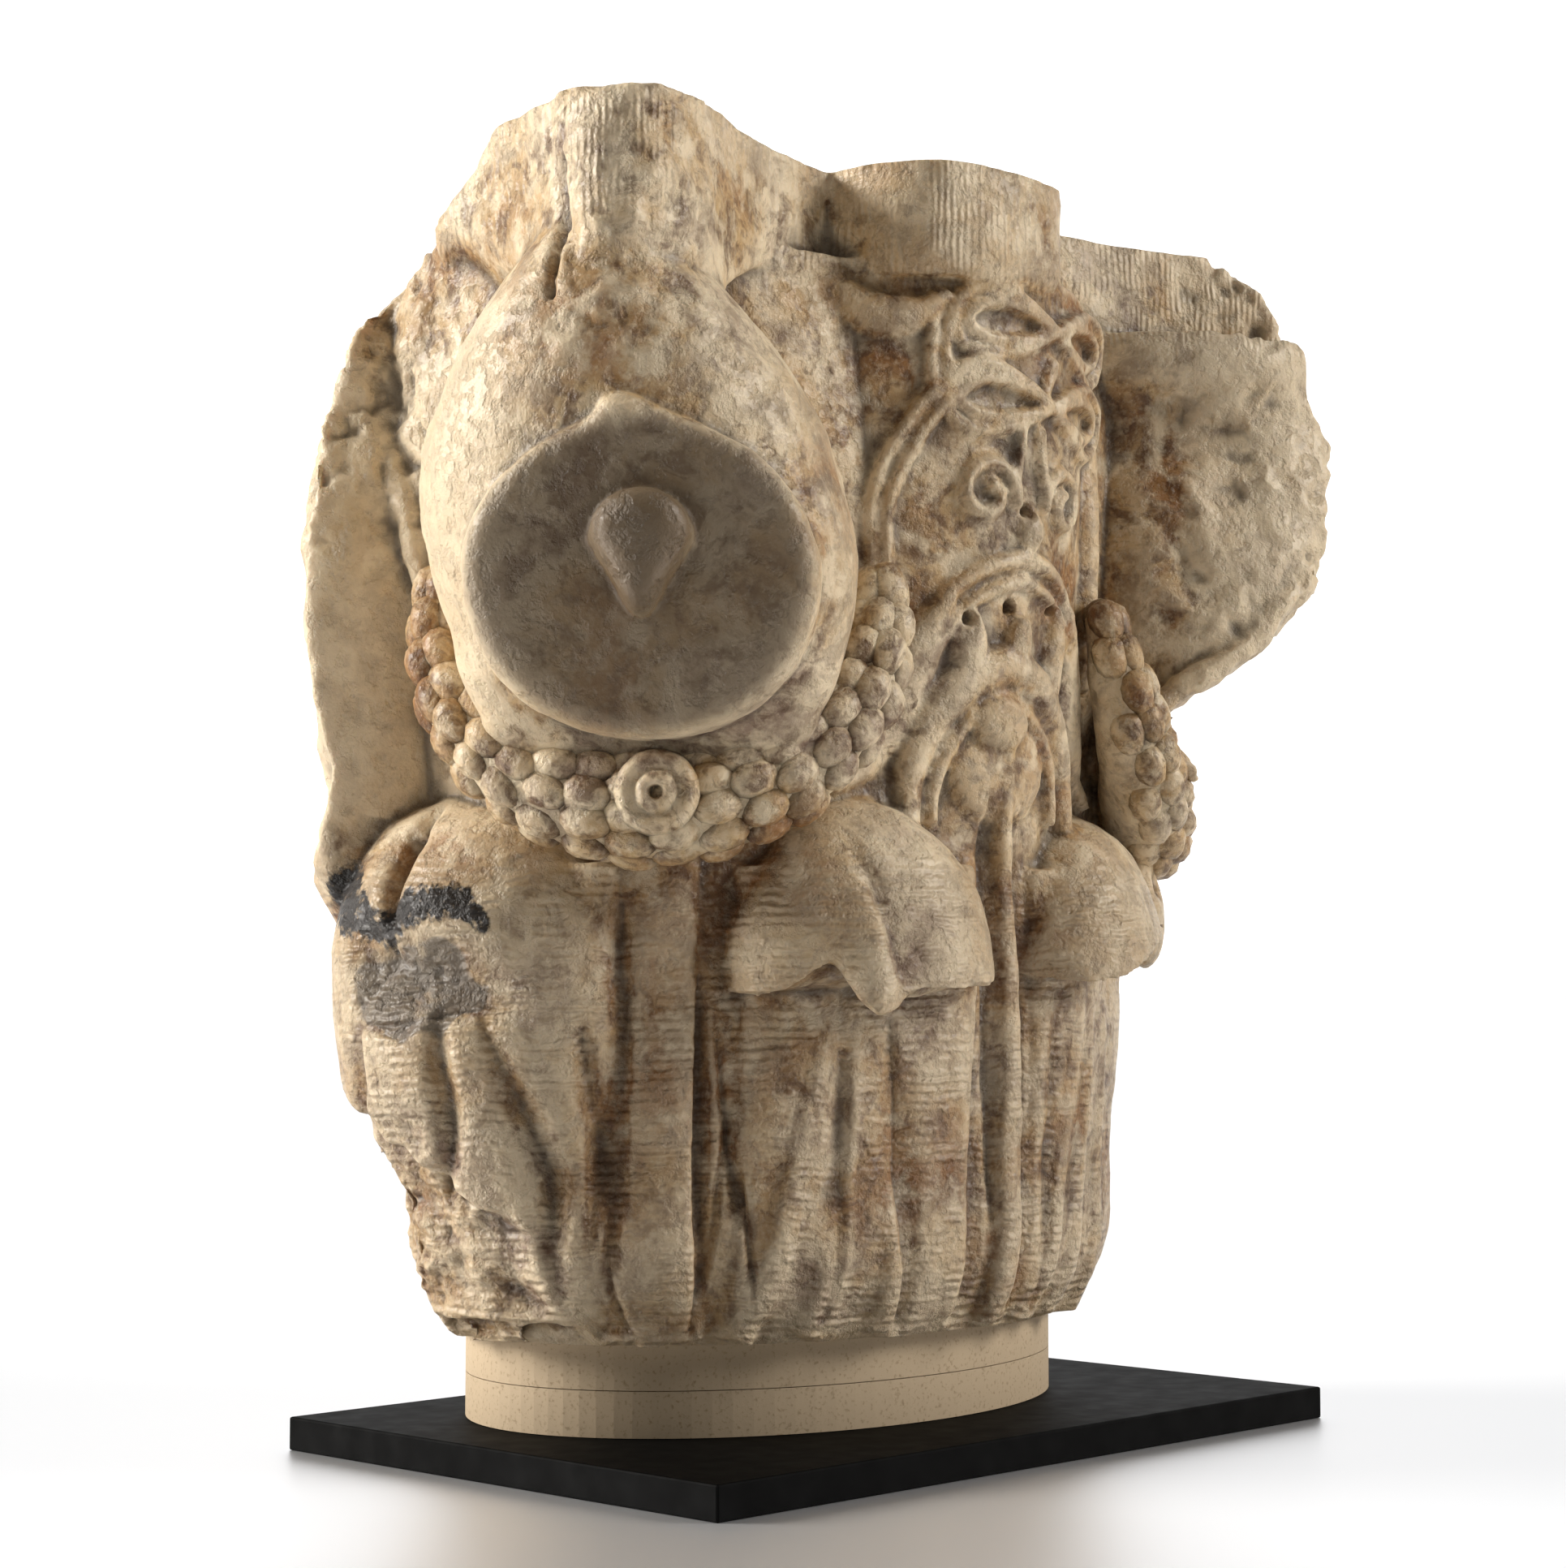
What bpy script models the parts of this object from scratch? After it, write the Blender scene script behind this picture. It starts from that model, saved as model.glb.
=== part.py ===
"""Carved marble capital made for a pair of columns, on an oval collar and a flat base plate.

The frame: +Z up, +X along the long side of the plate, the long carved face looks along -Y.
The origin is the middle of the plate's underside. The stone's own carving is laid out in
its own frame (u, v, w), which stands on the middle of its bed, in units of one
CARVING_UNITS-th of the stone's height, so the carving keeps its pose and its proportions
when the stone is made taller.
"""

import bpy
import numpy as np

MM = 0.001

# Driving dimensions, in metres
PLATE_LENGTH = 331 * MM
PLATE_DEPTH = 221 * MM
PLATE_THICKNESS = 12 * MM
PLATE_EDGE = 0.8 * MM
COLLAR_BOARD = 16 * MM
COLLAR_BOARDS = ("collar_lower", "collar_upper")
COLLAR_INSET = 12 * MM
COLLAR_SIDES = 96
STONE_HEIGHT = 413.4 * MM
STONE_SHIFT_X = -6 * MM
STONE_SHIFT_Y = 24 * MM
TOUCH_GAP = 0.3 * MM

# The carving's own units, and the grid that its solid is worked out on
CARVING_UNITS = 413.4
CARVING_GRID = 2.2
STONE_FACES = 0.021
UNIT = STONE_HEIGHT / CARVING_UNITS

# Heights of the bed and of the stone in the frame
BED_HEIGHT = PLATE_THICKNESS + len(COLLAR_BOARDS) * (COLLAR_BOARD + TOUCH_GAP) + TOUCH_GAP
TOP = CARVING_UNITS
LIP = 381.0

# Half axes of the bed's oval, and of the bell by height
BED_U = 141.0
BED_V = 101.0
BELL_HEIGHTS = (-4, 6, 16, 60, 150, 200, 250, LIP)
BELL_HALF_U = (BED_U - 5, BED_U, 147, 151, 151, 142, 120, 112)
BELL_HALF_V = (BED_V - 5, BED_V, 106, 110, 110, 104, 92, 86)

# The bulge of the long faces and of the short faces above the leaves
LONG_MIDDLE = 8.0
LONG_HEIGHTS = (120, 185, 238, 276, 300, LIP)
LONG_HALF_U = (112, 108, 106, 104, 102, 102)
LONG_HALF_V = (104, 110, 115, 121, 123, 125)
SHORT_HEIGHTS = (120, 185, 238, 276, 300, LIP)
SHORT_HALF_U = (142, 150, 160, 166, 168, 166)
SHORT_HALF_V = (92, 96, 100, 102, 102, 98)
SHORT_SQUARENESS = 2.5

# Each corner: where its axis leaves the bell, and the axis's bearing
CORNER_REACH_U = 112.0
CORNER_REACH_V = 58.0
CORNER_SPLAY = np.radians(42.0)

# The disc on each corner: it leans out at its top, and has a soft point there
DISC_HEIGHT = 253.0
DISC_REACH = 93.0
DISC_TILT = 0.2
DISC_HALF_WIDTH = 58.0
DISC_HALF_HEIGHT = 51.0
DISC_POINT = (-6.0, 7.0)
DISC_POINT_WIDTH = 0.24

# The disc's rounded side by level: step outwards, share of its size
DISC_LEVELS = ((-70, 0.94), (-12, 1.0), (-4, 0.98), (0, 0.9))

# The egg behind it, by level: height above the disc's middle, step sideways, half width, reach.
# On a broken corner it trails further down the bell, by EGG_TRAIL of its own depth.
EGG_LEVELS = (
    (-61, 0, 6, 34),
    (-53, 0, 42, 42),
    (-37, -1, 58, 60),
    (-13, -1, 67, 78),
    (12, -3, 72, 89),
    (37, -7, 71, 94),
    (64, -9, 63, 97),
    (92, -12, 46, 95),
    (109, -14, 32, 90),
    (125, -14, 16, 86),
)
EGG_TRAIL = 0.9
EGG_ROOT = 36.0
EGG_SUNK = 62.0
EGG_SQUARENESS = 2.2

# On a worn corner the egg's upper part is wider: height above the disc's middle, added half width
EGG_SHOULDER = ((47, 0), (77, 4), (92, 14), (109, 24), (125, 34))

# What is left of the broken ridge over the disc: reach, step sideways, height above it, three radii
KEEL = ((80, -12, 109, (20, 26, 12)), (87, -8, 85, (13, 22, 9)), (90, -9, 67, (9, 14, 7)))

# The drop on the disc's face
DROP_HALF_WIDTH = 17.0
DROP_HALF_HEIGHT = 16.0
DROP_POINT = 8.0
DROP_LIFT = 11.0
DROP_SWELL = 16.0
DROP_TAPER = 0.38
DROP_LEVELS = ((-0.4, 1.02), (0.35, 1.0), (0.75, 0.85), (1.0, 0.4))

# The festoon that hangs round the disc
FESTOON_HALF_WIDTH = 76.0
FESTOON_DROP = 69.0
FESTOON_SWEEP = 1.72
FESTOON_REACH = 27.0
FESTOON_BACK = 3.0
FESTOON_END = 8.5
FESTOON_SWELL = 10.0
FESTOON_TAPER = 0.86
FESTOON_BEND = 0.7
BERRY_COUNT = 17
BERRY_ROWS = 3
BERRY_LEAN = 0.62
BERRY_HALF_LENGTH = 7.8
BERRY_SHARE = 0.46
BERRY_SWELL = 5.5

# The corners that keep their ridge, disc and festoon, the one that isn't worn, and the one
# whose foot is worn back to the bell
WHOLE_CORNERS = ((-1, -1), (1, -1), (1, 1))
CRISP_CORNER = (-1, -1)
WORN_FOOT = (1, -1)

# The one leaf of the left and of the right short face: its middle, half width and reach
SHORT_LEAVES = ((8.0, 72.0, 38.0), (14.0, 60.0, 28.0))

# The leaves: their middles along a wall, half width, and the height that their heads hang from
LONG_LEAVES = (-51.0, 68.0)
LONG_LEAF_HALF = 46.0
LEAF_FOOT = 117.0
LEAF_REACH = 30.0
LEAF_THICKNESS = (1.0, 9.0)
LEAF_TOP = 160.0

# The lobes and the ribs of a blade, by share of its half width
LEAF_LOBES = (-0.5, 0.0, 0.5)
LEAF_LOBE_HALF = 0.46
LEAF_RIBS = (-0.72, -0.3, 0.3)
RIB_SPREAD = 1.05
RIB_CLOSING = 0.75
RIB_HALF = 7.0
RIB_TAPER = 3.0
RIB_SWELL = 4.0

# A leaf's head by level: height above its foot, share of its half width, share of its reach
HOODED_HEAD = (
    (-30, 0.96, 0.86),
    (0, 1.0, 0.98),
    (16, 1.0, 1.0),
    (34, 0.92, 0.93),
    (50, 0.74, 0.76),
    (62, 0.48, 0.5),
    (71, 0.04, 0.04),
)
WORN_HEAD = (
    (-110, 0.98, 0.26),
    (-70, 1.0, 0.46),
    (-30, 1.0, 0.78),
    (0, 1.0, 0.92),
    (20, 0.98, 0.95),
    (40, 0.88, 0.84),
    (54, 0.70, 0.64),
    (64, 0.46, 0.40),
    (71, 0.05, 0.06),
)

# The underside of a hooded head: its height above the foot by share of the half width
UNDER_STEPS = (-1.0, -0.5, 0.05, 0.35, 1.0)
UNDER_RISES = (-5, 9, 22, 14, 7)
UNDER_SLOPE = 9.0
HEAD_SUNK = 20.0
HEAD_SQUARENESS = 2.35

# The long face's carving, by run along the wall and height on it
FACE_AXIS = 9.0
KNOT_RINGS = ((-8, 362), (38, 359), (-8, 332), (34, 334))
KNOT_HALF = (16.0, 10.0)
KNOT_BAR = (2.6, 5.0)
STALK = ((-48, 268), (-47, 299), (-40, 317), (-30, 335), (-17, 341))
STALK_LINK = ((-30, 335), (-31, 350), (-30, 366))
HALF_LEAF = ((-64, 377), (-56, 364), (-44, 359), (-32, 364))
FACE_BAR = (5.0, 6.0)
SCROLL_STEP = 22.0
SCROLL_HEIGHT = 300.0
SCROLL_RADIUS = 12.0
SCROLL_CLOSING = 1.2
SCROLL_TURN = 1.6 * np.pi
SCROLL_BAR = (3.4, 5.5)

# Half of the arch and the blade that falls from it: step from the face's axis, and height
ARCH_HALF = ((0, 277), (20, 272), (36, 252), (46, 226), (62, 196))
ARCH_WIDTHS = (6, 6, 6.5, 7, 8, 9, 9, 9, 8, 6, 3, 1.5)
ARCH_SWELL = 6.0
DROPS = (-12, 10, 34)
DROPS_HEIGHT = 246.0
DROPS_RADII = (7.5, 9.0, 7.0)
BUD_HEIGHT = 289.0
BUD_RADII = (5.0, 7.0, 6.0)
PALMETTE = ((-34, 186), (-30, 206), (-18, 226), (5, 236), (30, 228), (48, 208), (54, 190))
PALMETTE_BAR = (6.0, 6.0)
PALMETTE_HEART = (6, 218)
HEART_RADII = (12.0, 12.0, 5.0)
MIDRIB = ((8, 212), (8, 160), (9, 90), (9, 4))

# A short face's carving: a palmette and its midrib
SIDE_PALMETTE = ((-20, 200), (-26, 250), (0, 292), (28, 250), (22, 200))
SIDE_MIDRIB = ((0, 280), (0, 240), (0, 190))
SIDE_BAR = (7.0, 7.0)

# The plain band up the bell under each corner
BAND_TOP = 190.0
BAND_HALF = 17.0
BAND_SWELL = 5.0

# What is broken off two corners: how far out the stone still reaches, by height
BREAK_HALF_WIDTH = 150.0
BREAK_FAR = 220.0
CUT_DEPTH = 60.0
BREAKS = {
    (1, -1): (
        (100, 165, 178, 196, 206, 217, 230, 241, 252, 266, 279, 294, 335, 372, 388, 400, 412, 430),
        (60, 40, 47, 43, 35, 28, 28, 47, 62, 79, 92, 95, 98, 84, 79, 72, 50, 30),
    ),
    (-1, 1): (
        (-20, 3, 16, 49, 70, 83, 105, 152, 166, 184, 208, 276, 309, 345, 360, 376, 397, 413, 430),
        (-24, -4, 7, 14, 30, 37, 41, 46, 44, 37, 42, 47, 43, 31, 27, 9, -8, -21, -40),
    ),
}

# The slab: each corner of its plan, and the bow of the edge that follows it, outwards if positive
ABACUS_FOOT = 374.0
ABACUS_INSET = 0.97
ABACUS_EDGE = 6.0
ABACUS_STEPS = 5
ABACUS_OUTLINE = (
    ((-190, -95), 0),
    ((-173, -119), 1),
    ((-148, -117), -5),
    ((-55, -84), 0),
    ((-53, -103), 7),
    ((-24, -131), 2),
    ((10, -130), 3),
    ((31, -119), 0),
    ((38, -90), 0),
    ((72, -86), -5),
    ((160, -113), 2),
    ((184, -119), 0),
    ((202, -96), -12),
    ((202, 96), 0),
    ((184, 119), 0),
    ((160, 113), -5),
    ((66, 86), 0),
    ((62, 116), 3),
    ((-46, 116), 0),
    ((-50, 86), -3),
    ((-118, 80), -4),
    ((-138, 44), -4),
    ((-172, -6), -3),
)

# Near the crisp corner the slab runs further down: how far, and the two distances it eases between
ABACUS_TIP = (-181.0, -107.0)
ABACUS_DIP = 24.0
ABACUS_DIP_NEAR = 25.0
ABACUS_DIP_FAR = 95.0


def smooth_profile(height, heights, values):
    """Value at a height on a smooth curve through a few given ones."""
    heights = np.asarray(heights, float)
    values = np.asarray(values, float)
    slopes = np.gradient(values, heights)
    height = np.clip(height, heights[0], heights[-1])
    at = np.clip(np.searchsorted(heights, height, side="right") - 1, 0, len(heights) - 2)
    step = heights[at + 1] - heights[at]
    t = (height - heights[at]) / step
    return (
        values[at] * (2 * t**3 - 3 * t**2 + 1)
        + slopes[at] * step * (t**3 - 2 * t**2 + t)
        + values[at + 1] * (3 * t**2 - 2 * t**3)
        + slopes[at + 1] * step * (t**3 - t**2)
    )


class Carving:
    """The closed shells that overlap to make the stone, gathered in one mesh."""

    def __init__(self):
        self.points = []
        self.faces = []
        self.count = 0

    def add(self, rings):
        """Add a closed shell from rings of points, with a flat cap on each end."""
        rings = np.asarray(rings, float)
        rows, columns = rings.shape[:2]
        index = np.arange(rows * columns).reshape(rows, columns) + self.count
        beside = np.roll(index, -1, axis=1)
        quads = np.stack([index[:-1], beside[:-1], beside[1:], index[1:]], axis=-1)
        self.faces += quads.reshape(-1, 4).tolist()
        self.faces.append(index[0][::-1].tolist())
        self.faces.append(index[-1].tolist())
        self.points.append(rings.reshape(-1, 3))
        self.count += rows * columns

    def mesh(self, name):
        """One mesh of all the shells, in metres, in the frame."""
        points = np.concatenate(self.points) * UNIT
        points += (STONE_SHIFT_X, STONE_SHIFT_Y, BED_HEIGHT)
        mesh = bpy.data.meshes.new(name)
        mesh.from_pydata(points.tolist(), [], self.faces)
        return mesh


def filled_turn(squareness, sides):
    """Cosines and sines round an oval of unit size; a squareness over 2 fills its corners out."""
    turn = np.linspace(0, 2 * np.pi, sides, endpoint=False)
    power = 2.0 / squareness
    across = np.sign(np.cos(turn)) * np.abs(np.cos(turn)) ** power
    along = np.sign(np.sin(turn)) * np.abs(np.sin(turn)) ** power
    return across, along


def oval_ring(half_u, half_v, height, squareness=2.0, middle_u=0.0, sides=72):
    """A level ring of points on an oval."""
    across, along = filled_turn(squareness, sides)
    return np.stack([half_u * across + middle_u, half_v * along, np.full(sides, float(height))], axis=-1)


def ovoid(middle, frame, radii, rows=15, sides=28):
    """Rings of an ellipsoid whose axes are the rows of the frame; the last is its pole."""
    rise = np.linspace(-0.5 * np.pi + 0.02, 0.5 * np.pi - 0.02, rows)[:, None]
    turn = np.linspace(0, 2 * np.pi, sides, endpoint=False)[None, :]
    local = np.stack(
        [
            radii[0] * np.cos(rise) * np.cos(turn),
            radii[1] * np.cos(rise) * np.sin(turn),
            radii[2] * np.sin(rise) * np.ones_like(turn),
        ],
        axis=-1,
    )
    return local @ np.asarray(frame, float) + np.asarray(middle, float)


def smooth_path(points, count):
    """Points spread along a smooth curve through the given ones."""
    points = np.asarray(points, float)
    run = np.concatenate([[0], np.cumsum(np.linalg.norm(np.diff(points, axis=0), axis=1))])
    at = np.linspace(0, run[-1], count)
    return np.stack([smooth_profile(at, run, column) for column in points.T], axis=-1)


def cord(path, facing, width, height, sides=8):
    """Rings of an oval bar along a path, lying flat on a wall that looks along facing."""
    path = np.asarray(path, float)
    along = np.gradient(path, axis=0)
    along /= np.linalg.norm(along, axis=1)[:, None]
    facing = np.broadcast_to(np.asarray(facing, float), path.shape)
    across = np.cross(along, facing)
    across /= np.linalg.norm(across, axis=1)[:, None]
    out = np.cross(across, along)
    turn = np.linspace(0, 2 * np.pi, sides, endpoint=False)
    width = np.broadcast_to(np.asarray(width, float), len(path))[:, None, None]
    height = np.broadcast_to(np.asarray(height, float), len(path))[:, None, None]
    return (
        path[:, None, :]
        + across[:, None, :] * np.cos(turn)[None, :, None] * width
        + out[:, None, :] * np.sin(turn)[None, :, None] * height
    )


class Face:
    """The wall of one side, addressed by a run along it and a height."""

    def __init__(self, long_side, sign):
        self.long_side = long_side
        self.sign = sign

    def depth(self, run, height):
        """How far the wall stands from the stone's middle."""
        if self.long_side:
            across = (run - LONG_MIDDLE) / smooth_profile(height, LONG_HEIGHTS, LONG_HALF_U)
            bulge = smooth_profile(height, LONG_HEIGHTS, LONG_HALF_V)
            bulge = bulge * np.sqrt(np.clip(1 - across**2, 0, None))
            bell = run / smooth_profile(height, BELL_HEIGHTS, BELL_HALF_U)
            reach = smooth_profile(height, BELL_HEIGHTS, BELL_HALF_V)
        else:
            across = np.abs(run) / smooth_profile(height, SHORT_HEIGHTS, SHORT_HALF_V)
            bulge = smooth_profile(height, SHORT_HEIGHTS, SHORT_HALF_U)
            fill = np.clip(1 - across**SHORT_SQUARENESS, 0, None)
            bulge = bulge * fill ** (1 / SHORT_SQUARENESS)
            bell = run / smooth_profile(height, BELL_HEIGHTS, BELL_HALF_V)
            reach = smooth_profile(height, BELL_HEIGHTS, BELL_HALF_U)
        bell = reach * np.sqrt(np.clip(1 - bell**2, 0, None))
        return np.where(height > LONG_HEIGHTS[0], np.maximum(bulge, bell), bell)

    def place(self, run, height, out=0.0):
        """Points that stand out from the wall, and the wall's outward direction there."""
        run = np.asarray(run, float) * np.ones_like(np.asarray(height, float))
        height = np.asarray(height, float) * np.ones_like(run)
        depth = self.depth(run, height)
        lean = (self.depth(run + 1.0, height) - self.depth(run - 1.0, height)) / 2
        rise = (self.depth(run, height + 1.0) - self.depth(run, height - 1.0)) / 2
        normal = np.stack([-lean, np.ones_like(run), -rise], axis=-1)
        normal /= np.linalg.norm(normal, axis=-1, keepdims=True)
        local = np.stack([run, depth, height], axis=-1) + normal * np.asarray(out)[..., None]
        return self.turn(local), self.turn(normal)

    def turn(self, local):
        """From run, depth and height to the stone's own frame."""
        run, depth, height = np.moveaxis(local, -1, 0)
        if self.long_side:
            return np.stack([run, self.sign * depth, height], axis=-1)
        return np.stack([self.sign * depth, run, height], axis=-1)

    def strand(self, carving, points, width, height, count=20):
        """Carve a bar on the wall through a few places given by run and height."""
        route = smooth_path(points, count)
        path, normal = self.place(route[:, 0], route[:, 1])
        carving.add(cord(path, normal, width, height))

    def loop(self, carving, middle, half, width, height, count=20):
        """Carve a closed almond ring on the wall."""
        turn = np.linspace(0, 2 * np.pi, count + 1)
        path, normal = self.place(middle[0] + half[0] * np.cos(turn), middle[1] + half[1] * np.sin(turn))
        carving.add(cord(path, normal, width, height))

    def knob(self, carving, run, height, radii):
        """Carve a rounded boss on the wall."""
        at, normal = self.place(run, height)
        across = np.cross([0.0, 0.0, 1.0], normal)
        across /= np.linalg.norm(across)
        frame = [across, np.cross(normal, across), normal]
        carving.add(ovoid(at, frame, radii, rows=9, sides=14))


class Corner:
    """The frame of one corner: outwards along its axis, to the side, and up."""

    def __init__(self, sign_u, sign_v):
        middle = LONG_MIDDLE * 0.5
        self.name = ("left", "right")[sign_u > 0] + ("_front", "_back")[sign_v > 0]
        self.root = np.array([middle + sign_u * (CORNER_REACH_U + middle), sign_v * CORNER_REACH_V, 0.0])
        self.out = np.array([sign_u * np.cos(CORNER_SPLAY), sign_v * np.sin(CORNER_SPLAY), 0.0])
        self.side = np.array([-self.out[1], self.out[0], 0.0])
        self.up = np.array([0.0, 0.0, 1.0])
        self.mirror = sign_u * sign_v

    def place(self, out, side, height):
        """A point from its reach along the axis, its side step and its height."""
        out, side, height = (np.asarray(value, float)[..., None] for value in (out, side, height))
        return self.root + out * self.out + side * self.side + height * self.up


def add_bell(carving):
    """The bell: an oval drum whose foot is rounded and whose top draws in."""
    heights = np.linspace(BELL_HEIGHTS[0], LIP, 28)
    half_u = smooth_profile(heights, BELL_HEIGHTS, BELL_HALF_U)
    half_v = smooth_profile(heights, BELL_HEIGHTS, BELL_HALF_V)
    carving.add([oval_ring(*axes) for axes in zip(half_u, half_v, heights)])


def add_bulges(carving):
    """The bulges of the long and short faces, which swell out to the bell's lip."""
    heights = np.linspace(LONG_HEIGHTS[0], LIP, 18)
    half_u = smooth_profile(heights, LONG_HEIGHTS, LONG_HALF_U)
    half_v = smooth_profile(heights, LONG_HEIGHTS, LONG_HALF_V)
    carving.add([oval_ring(u, v, w, middle_u=LONG_MIDDLE) for u, v, w in zip(half_u, half_v, heights)])
    half_u = smooth_profile(heights, SHORT_HEIGHTS, SHORT_HALF_U)
    half_v = smooth_profile(heights, SHORT_HEIGHTS, SHORT_HALF_V)
    carving.add([oval_ring(u, v, w, SHORT_SQUARENESS) for u, v, w in zip(half_u, half_v, heights)])


def bowed_outline(outline, steps):
    """Points round an outline whose edges bow out or in: the chord plus bow * 4 t (1 - t)."""
    t = np.arange(steps)[:, None] / steps
    found = []
    for (start, bow), (end, _) in zip(outline, outline[1:] + outline[:1]):
        chord = np.subtract(end, start, dtype=float)
        outward = np.array([chord[1], -chord[0]]) / np.linalg.norm(chord)
        places = t if bow else t[:1]
        found.append(start + chord * places + outward * bow * 4 * places * (1 - places))
    return np.concatenate(found)


def add_abacus(carving):
    """The slab on top: concave sides, cut corners and a block in the middle of each long side."""
    plan = bowed_outline(ABACUS_OUTLINE, ABACUS_STEPS)
    rings = []
    apart = np.linalg.norm(plan - ABACUS_TIP, axis=1)
    dip = ABACUS_DIP * np.interp(apart, (ABACUS_DIP_NEAR, ABACUS_DIP_FAR), (1, 0))
    rise = TOP + 4 - ABACUS_FOOT
    for height, share in ((0, ABACUS_INSET), (ABACUS_EDGE, 1.0), (rise, 1.0)):
        rings.append(np.column_stack([plan * share, ABACUS_FOOT + height - dip * (1 - height / rise)]))
    carving.add(rings)


def add_egg(carving, corner, worn, trail):
    """The egg under the abacus: level ovals, out to their reach in front and sunk in the bell."""
    rise, middle, half, reach = np.array(EGG_LEVELS, float).T
    rise = np.where(rise < 0, rise * (1 + trail), rise)
    at = np.linspace(rise[0], rise[-1], 24)
    middle, half, reach = (smooth_profile(at, rise, row)[:, None] for row in (middle, half, reach))
    if worn:
        half = half + np.interp(at, *np.array(EGG_SHOULDER, float).T)[:, None]
    across, outwards = filled_turn(EGG_SQUARENESS, 40)
    out = EGG_ROOT + outwards * np.where(outwards > 0, reach - EGG_ROOT, EGG_SUNK)
    side = middle * corner.mirror + half * across
    carving.add(corner.place(out, side, DISC_HEIGHT + at[:, None] * np.ones_like(out)))


def add_keel(carving, corner):
    """What is left of the broken ridge from the abacus's cut corner to the point of the disc."""
    frame = [corner.side, corner.up, corner.out]
    for reach, side, rise, radii in KEEL:
        at = corner.place(reach, side * corner.mirror, DISC_HEIGHT + rise)
        carving.add(ovoid(at, frame, radii))


def add_disc(carving, corner):
    """The flat disc: a round slab with a point at the top, its rim a little rounded."""
    across, upwards = filled_turn(2.0, 48)
    point = np.where(upwards > 0, np.exp(-((across / DISC_POINT_WIDTH) ** 2)), 0)
    rings = []
    for step, size in DISC_LEVELS:
        side = DISC_HALF_WIDTH * across * size + DISC_POINT[0] * corner.mirror * point
        rise = (DISC_HALF_HEIGHT * upwards + DISC_POINT[1] * point) * size
        rings.append(corner.place(DISC_REACH + DISC_TILT * rise + step, side, DISC_HEIGHT + rise))
    carving.add(rings)


def add_drop(carving, corner):
    """The heart-shaped drop on the disc, its point downwards."""
    across, upwards = filled_turn(2.0, 24)
    low = np.clip(-upwards, 0, 1)
    rings = []
    for swell, size in DROP_LEVELS:
        side = DROP_HALF_WIDTH * across * (1 - DROP_TAPER * low) * size
        rise = DROP_LIFT + (DROP_HALF_HEIGHT * upwards - DROP_POINT * low**3) * size
        out = DISC_REACH + DISC_TILT * rise + DROP_SWELL * swell
        rings.append(corner.place(out, side, DISC_HEIGHT + rise))
    carving.add(rings)


def festoon_path(corner, angles):
    """The middle line of the festoon that hangs round the disc, by angle from its low point."""
    side = FESTOON_HALF_WIDTH * np.sin(angles)
    rise = DISC_HEIGHT - FESTOON_DROP * np.cos(angles)
    out = (FESTOON_REACH + FESTOON_BACK) * np.cos(angles * FESTOON_BEND) ** 2 - FESTOON_BACK
    return corner.place(out, side, rise)


def festoon_girth(angles):
    """Half thickness of the festoon: most at its low point, least at its two ends."""
    return FESTOON_END + FESTOON_SWELL * np.cos(angles * FESTOON_TAPER)


def add_festoon(carving, corner, rows=0):
    """A festoon: a roll round the disc, thick at its low point, with rows of berries."""
    angles = np.linspace(-FESTOON_SWEEP, FESTOON_SWEEP, 27)
    path = festoon_path(corner, angles)
    girth = festoon_girth(angles)
    outward = corner.out[None, :] * np.ones((len(angles), 1))
    carving.add(cord(path, outward, girth, girth, sides=12))
    for row in range(rows):
        add_berry_row(carving, corner, (row - (rows - 1) / 2) * BERRY_LEAN, 0.5 * (row % 2))


def add_berry_row(carving, corner, lean, shift):
    """One row of berries along the festoon, leaning off its outer line and shifted along it."""
    steps = (np.arange(BERRY_COUNT) + shift) / (BERRY_COUNT - 0.5)
    angles = (steps * 2 - 1) * (FESTOON_SWEEP - 0.2)
    path = festoon_path(corner, angles)
    along = festoon_path(corner, angles + 0.02) - path
    along /= np.linalg.norm(along, axis=1)[:, None]
    across = np.cross(corner.out, along)
    across /= np.linalg.norm(across, axis=1)[:, None]
    outward = np.cross(along, across)
    normal = outward * np.cos(lean) + across * np.sin(lean)
    beside = np.cross(normal, along)
    for place, girth in enumerate(festoon_girth(angles)):
        frame = [along[place], beside[place], normal[place]]
        middle = path[place] + normal[place] * (girth + 1 - BERRY_SWELL)
        radii = (BERRY_HALF_LENGTH, BERRY_SHARE * girth, BERRY_SWELL)
        carving.add(ovoid(middle, frame, radii, rows=7, sides=10))


def add_leaf(carving, face, middle, half_width):
    """The blade of a water leaf: it lies on the bell, and has ribs that spread downwards."""
    heights = np.linspace(2, LEAF_TOP, 14)
    share = heights / LEAF_TOP
    thickness = np.interp(share, (0, 1), LEAF_THICKNESS)
    for side in LEAF_LOBES:
        path, normal = face.place(middle + side * half_width, heights)
        carving.add(cord(path, normal, half_width * LEAF_LOBE_HALF, thickness, sides=12))
    for side in LEAF_RIBS:
        run = middle + half_width * side * (RIB_SPREAD - RIB_CLOSING * share)
        path, normal = face.place(run, heights, out=thickness / 2)
        carving.add(cord(path, normal, RIB_HALF - RIB_TAPER * share, RIB_SWELL, sides=8))


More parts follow.
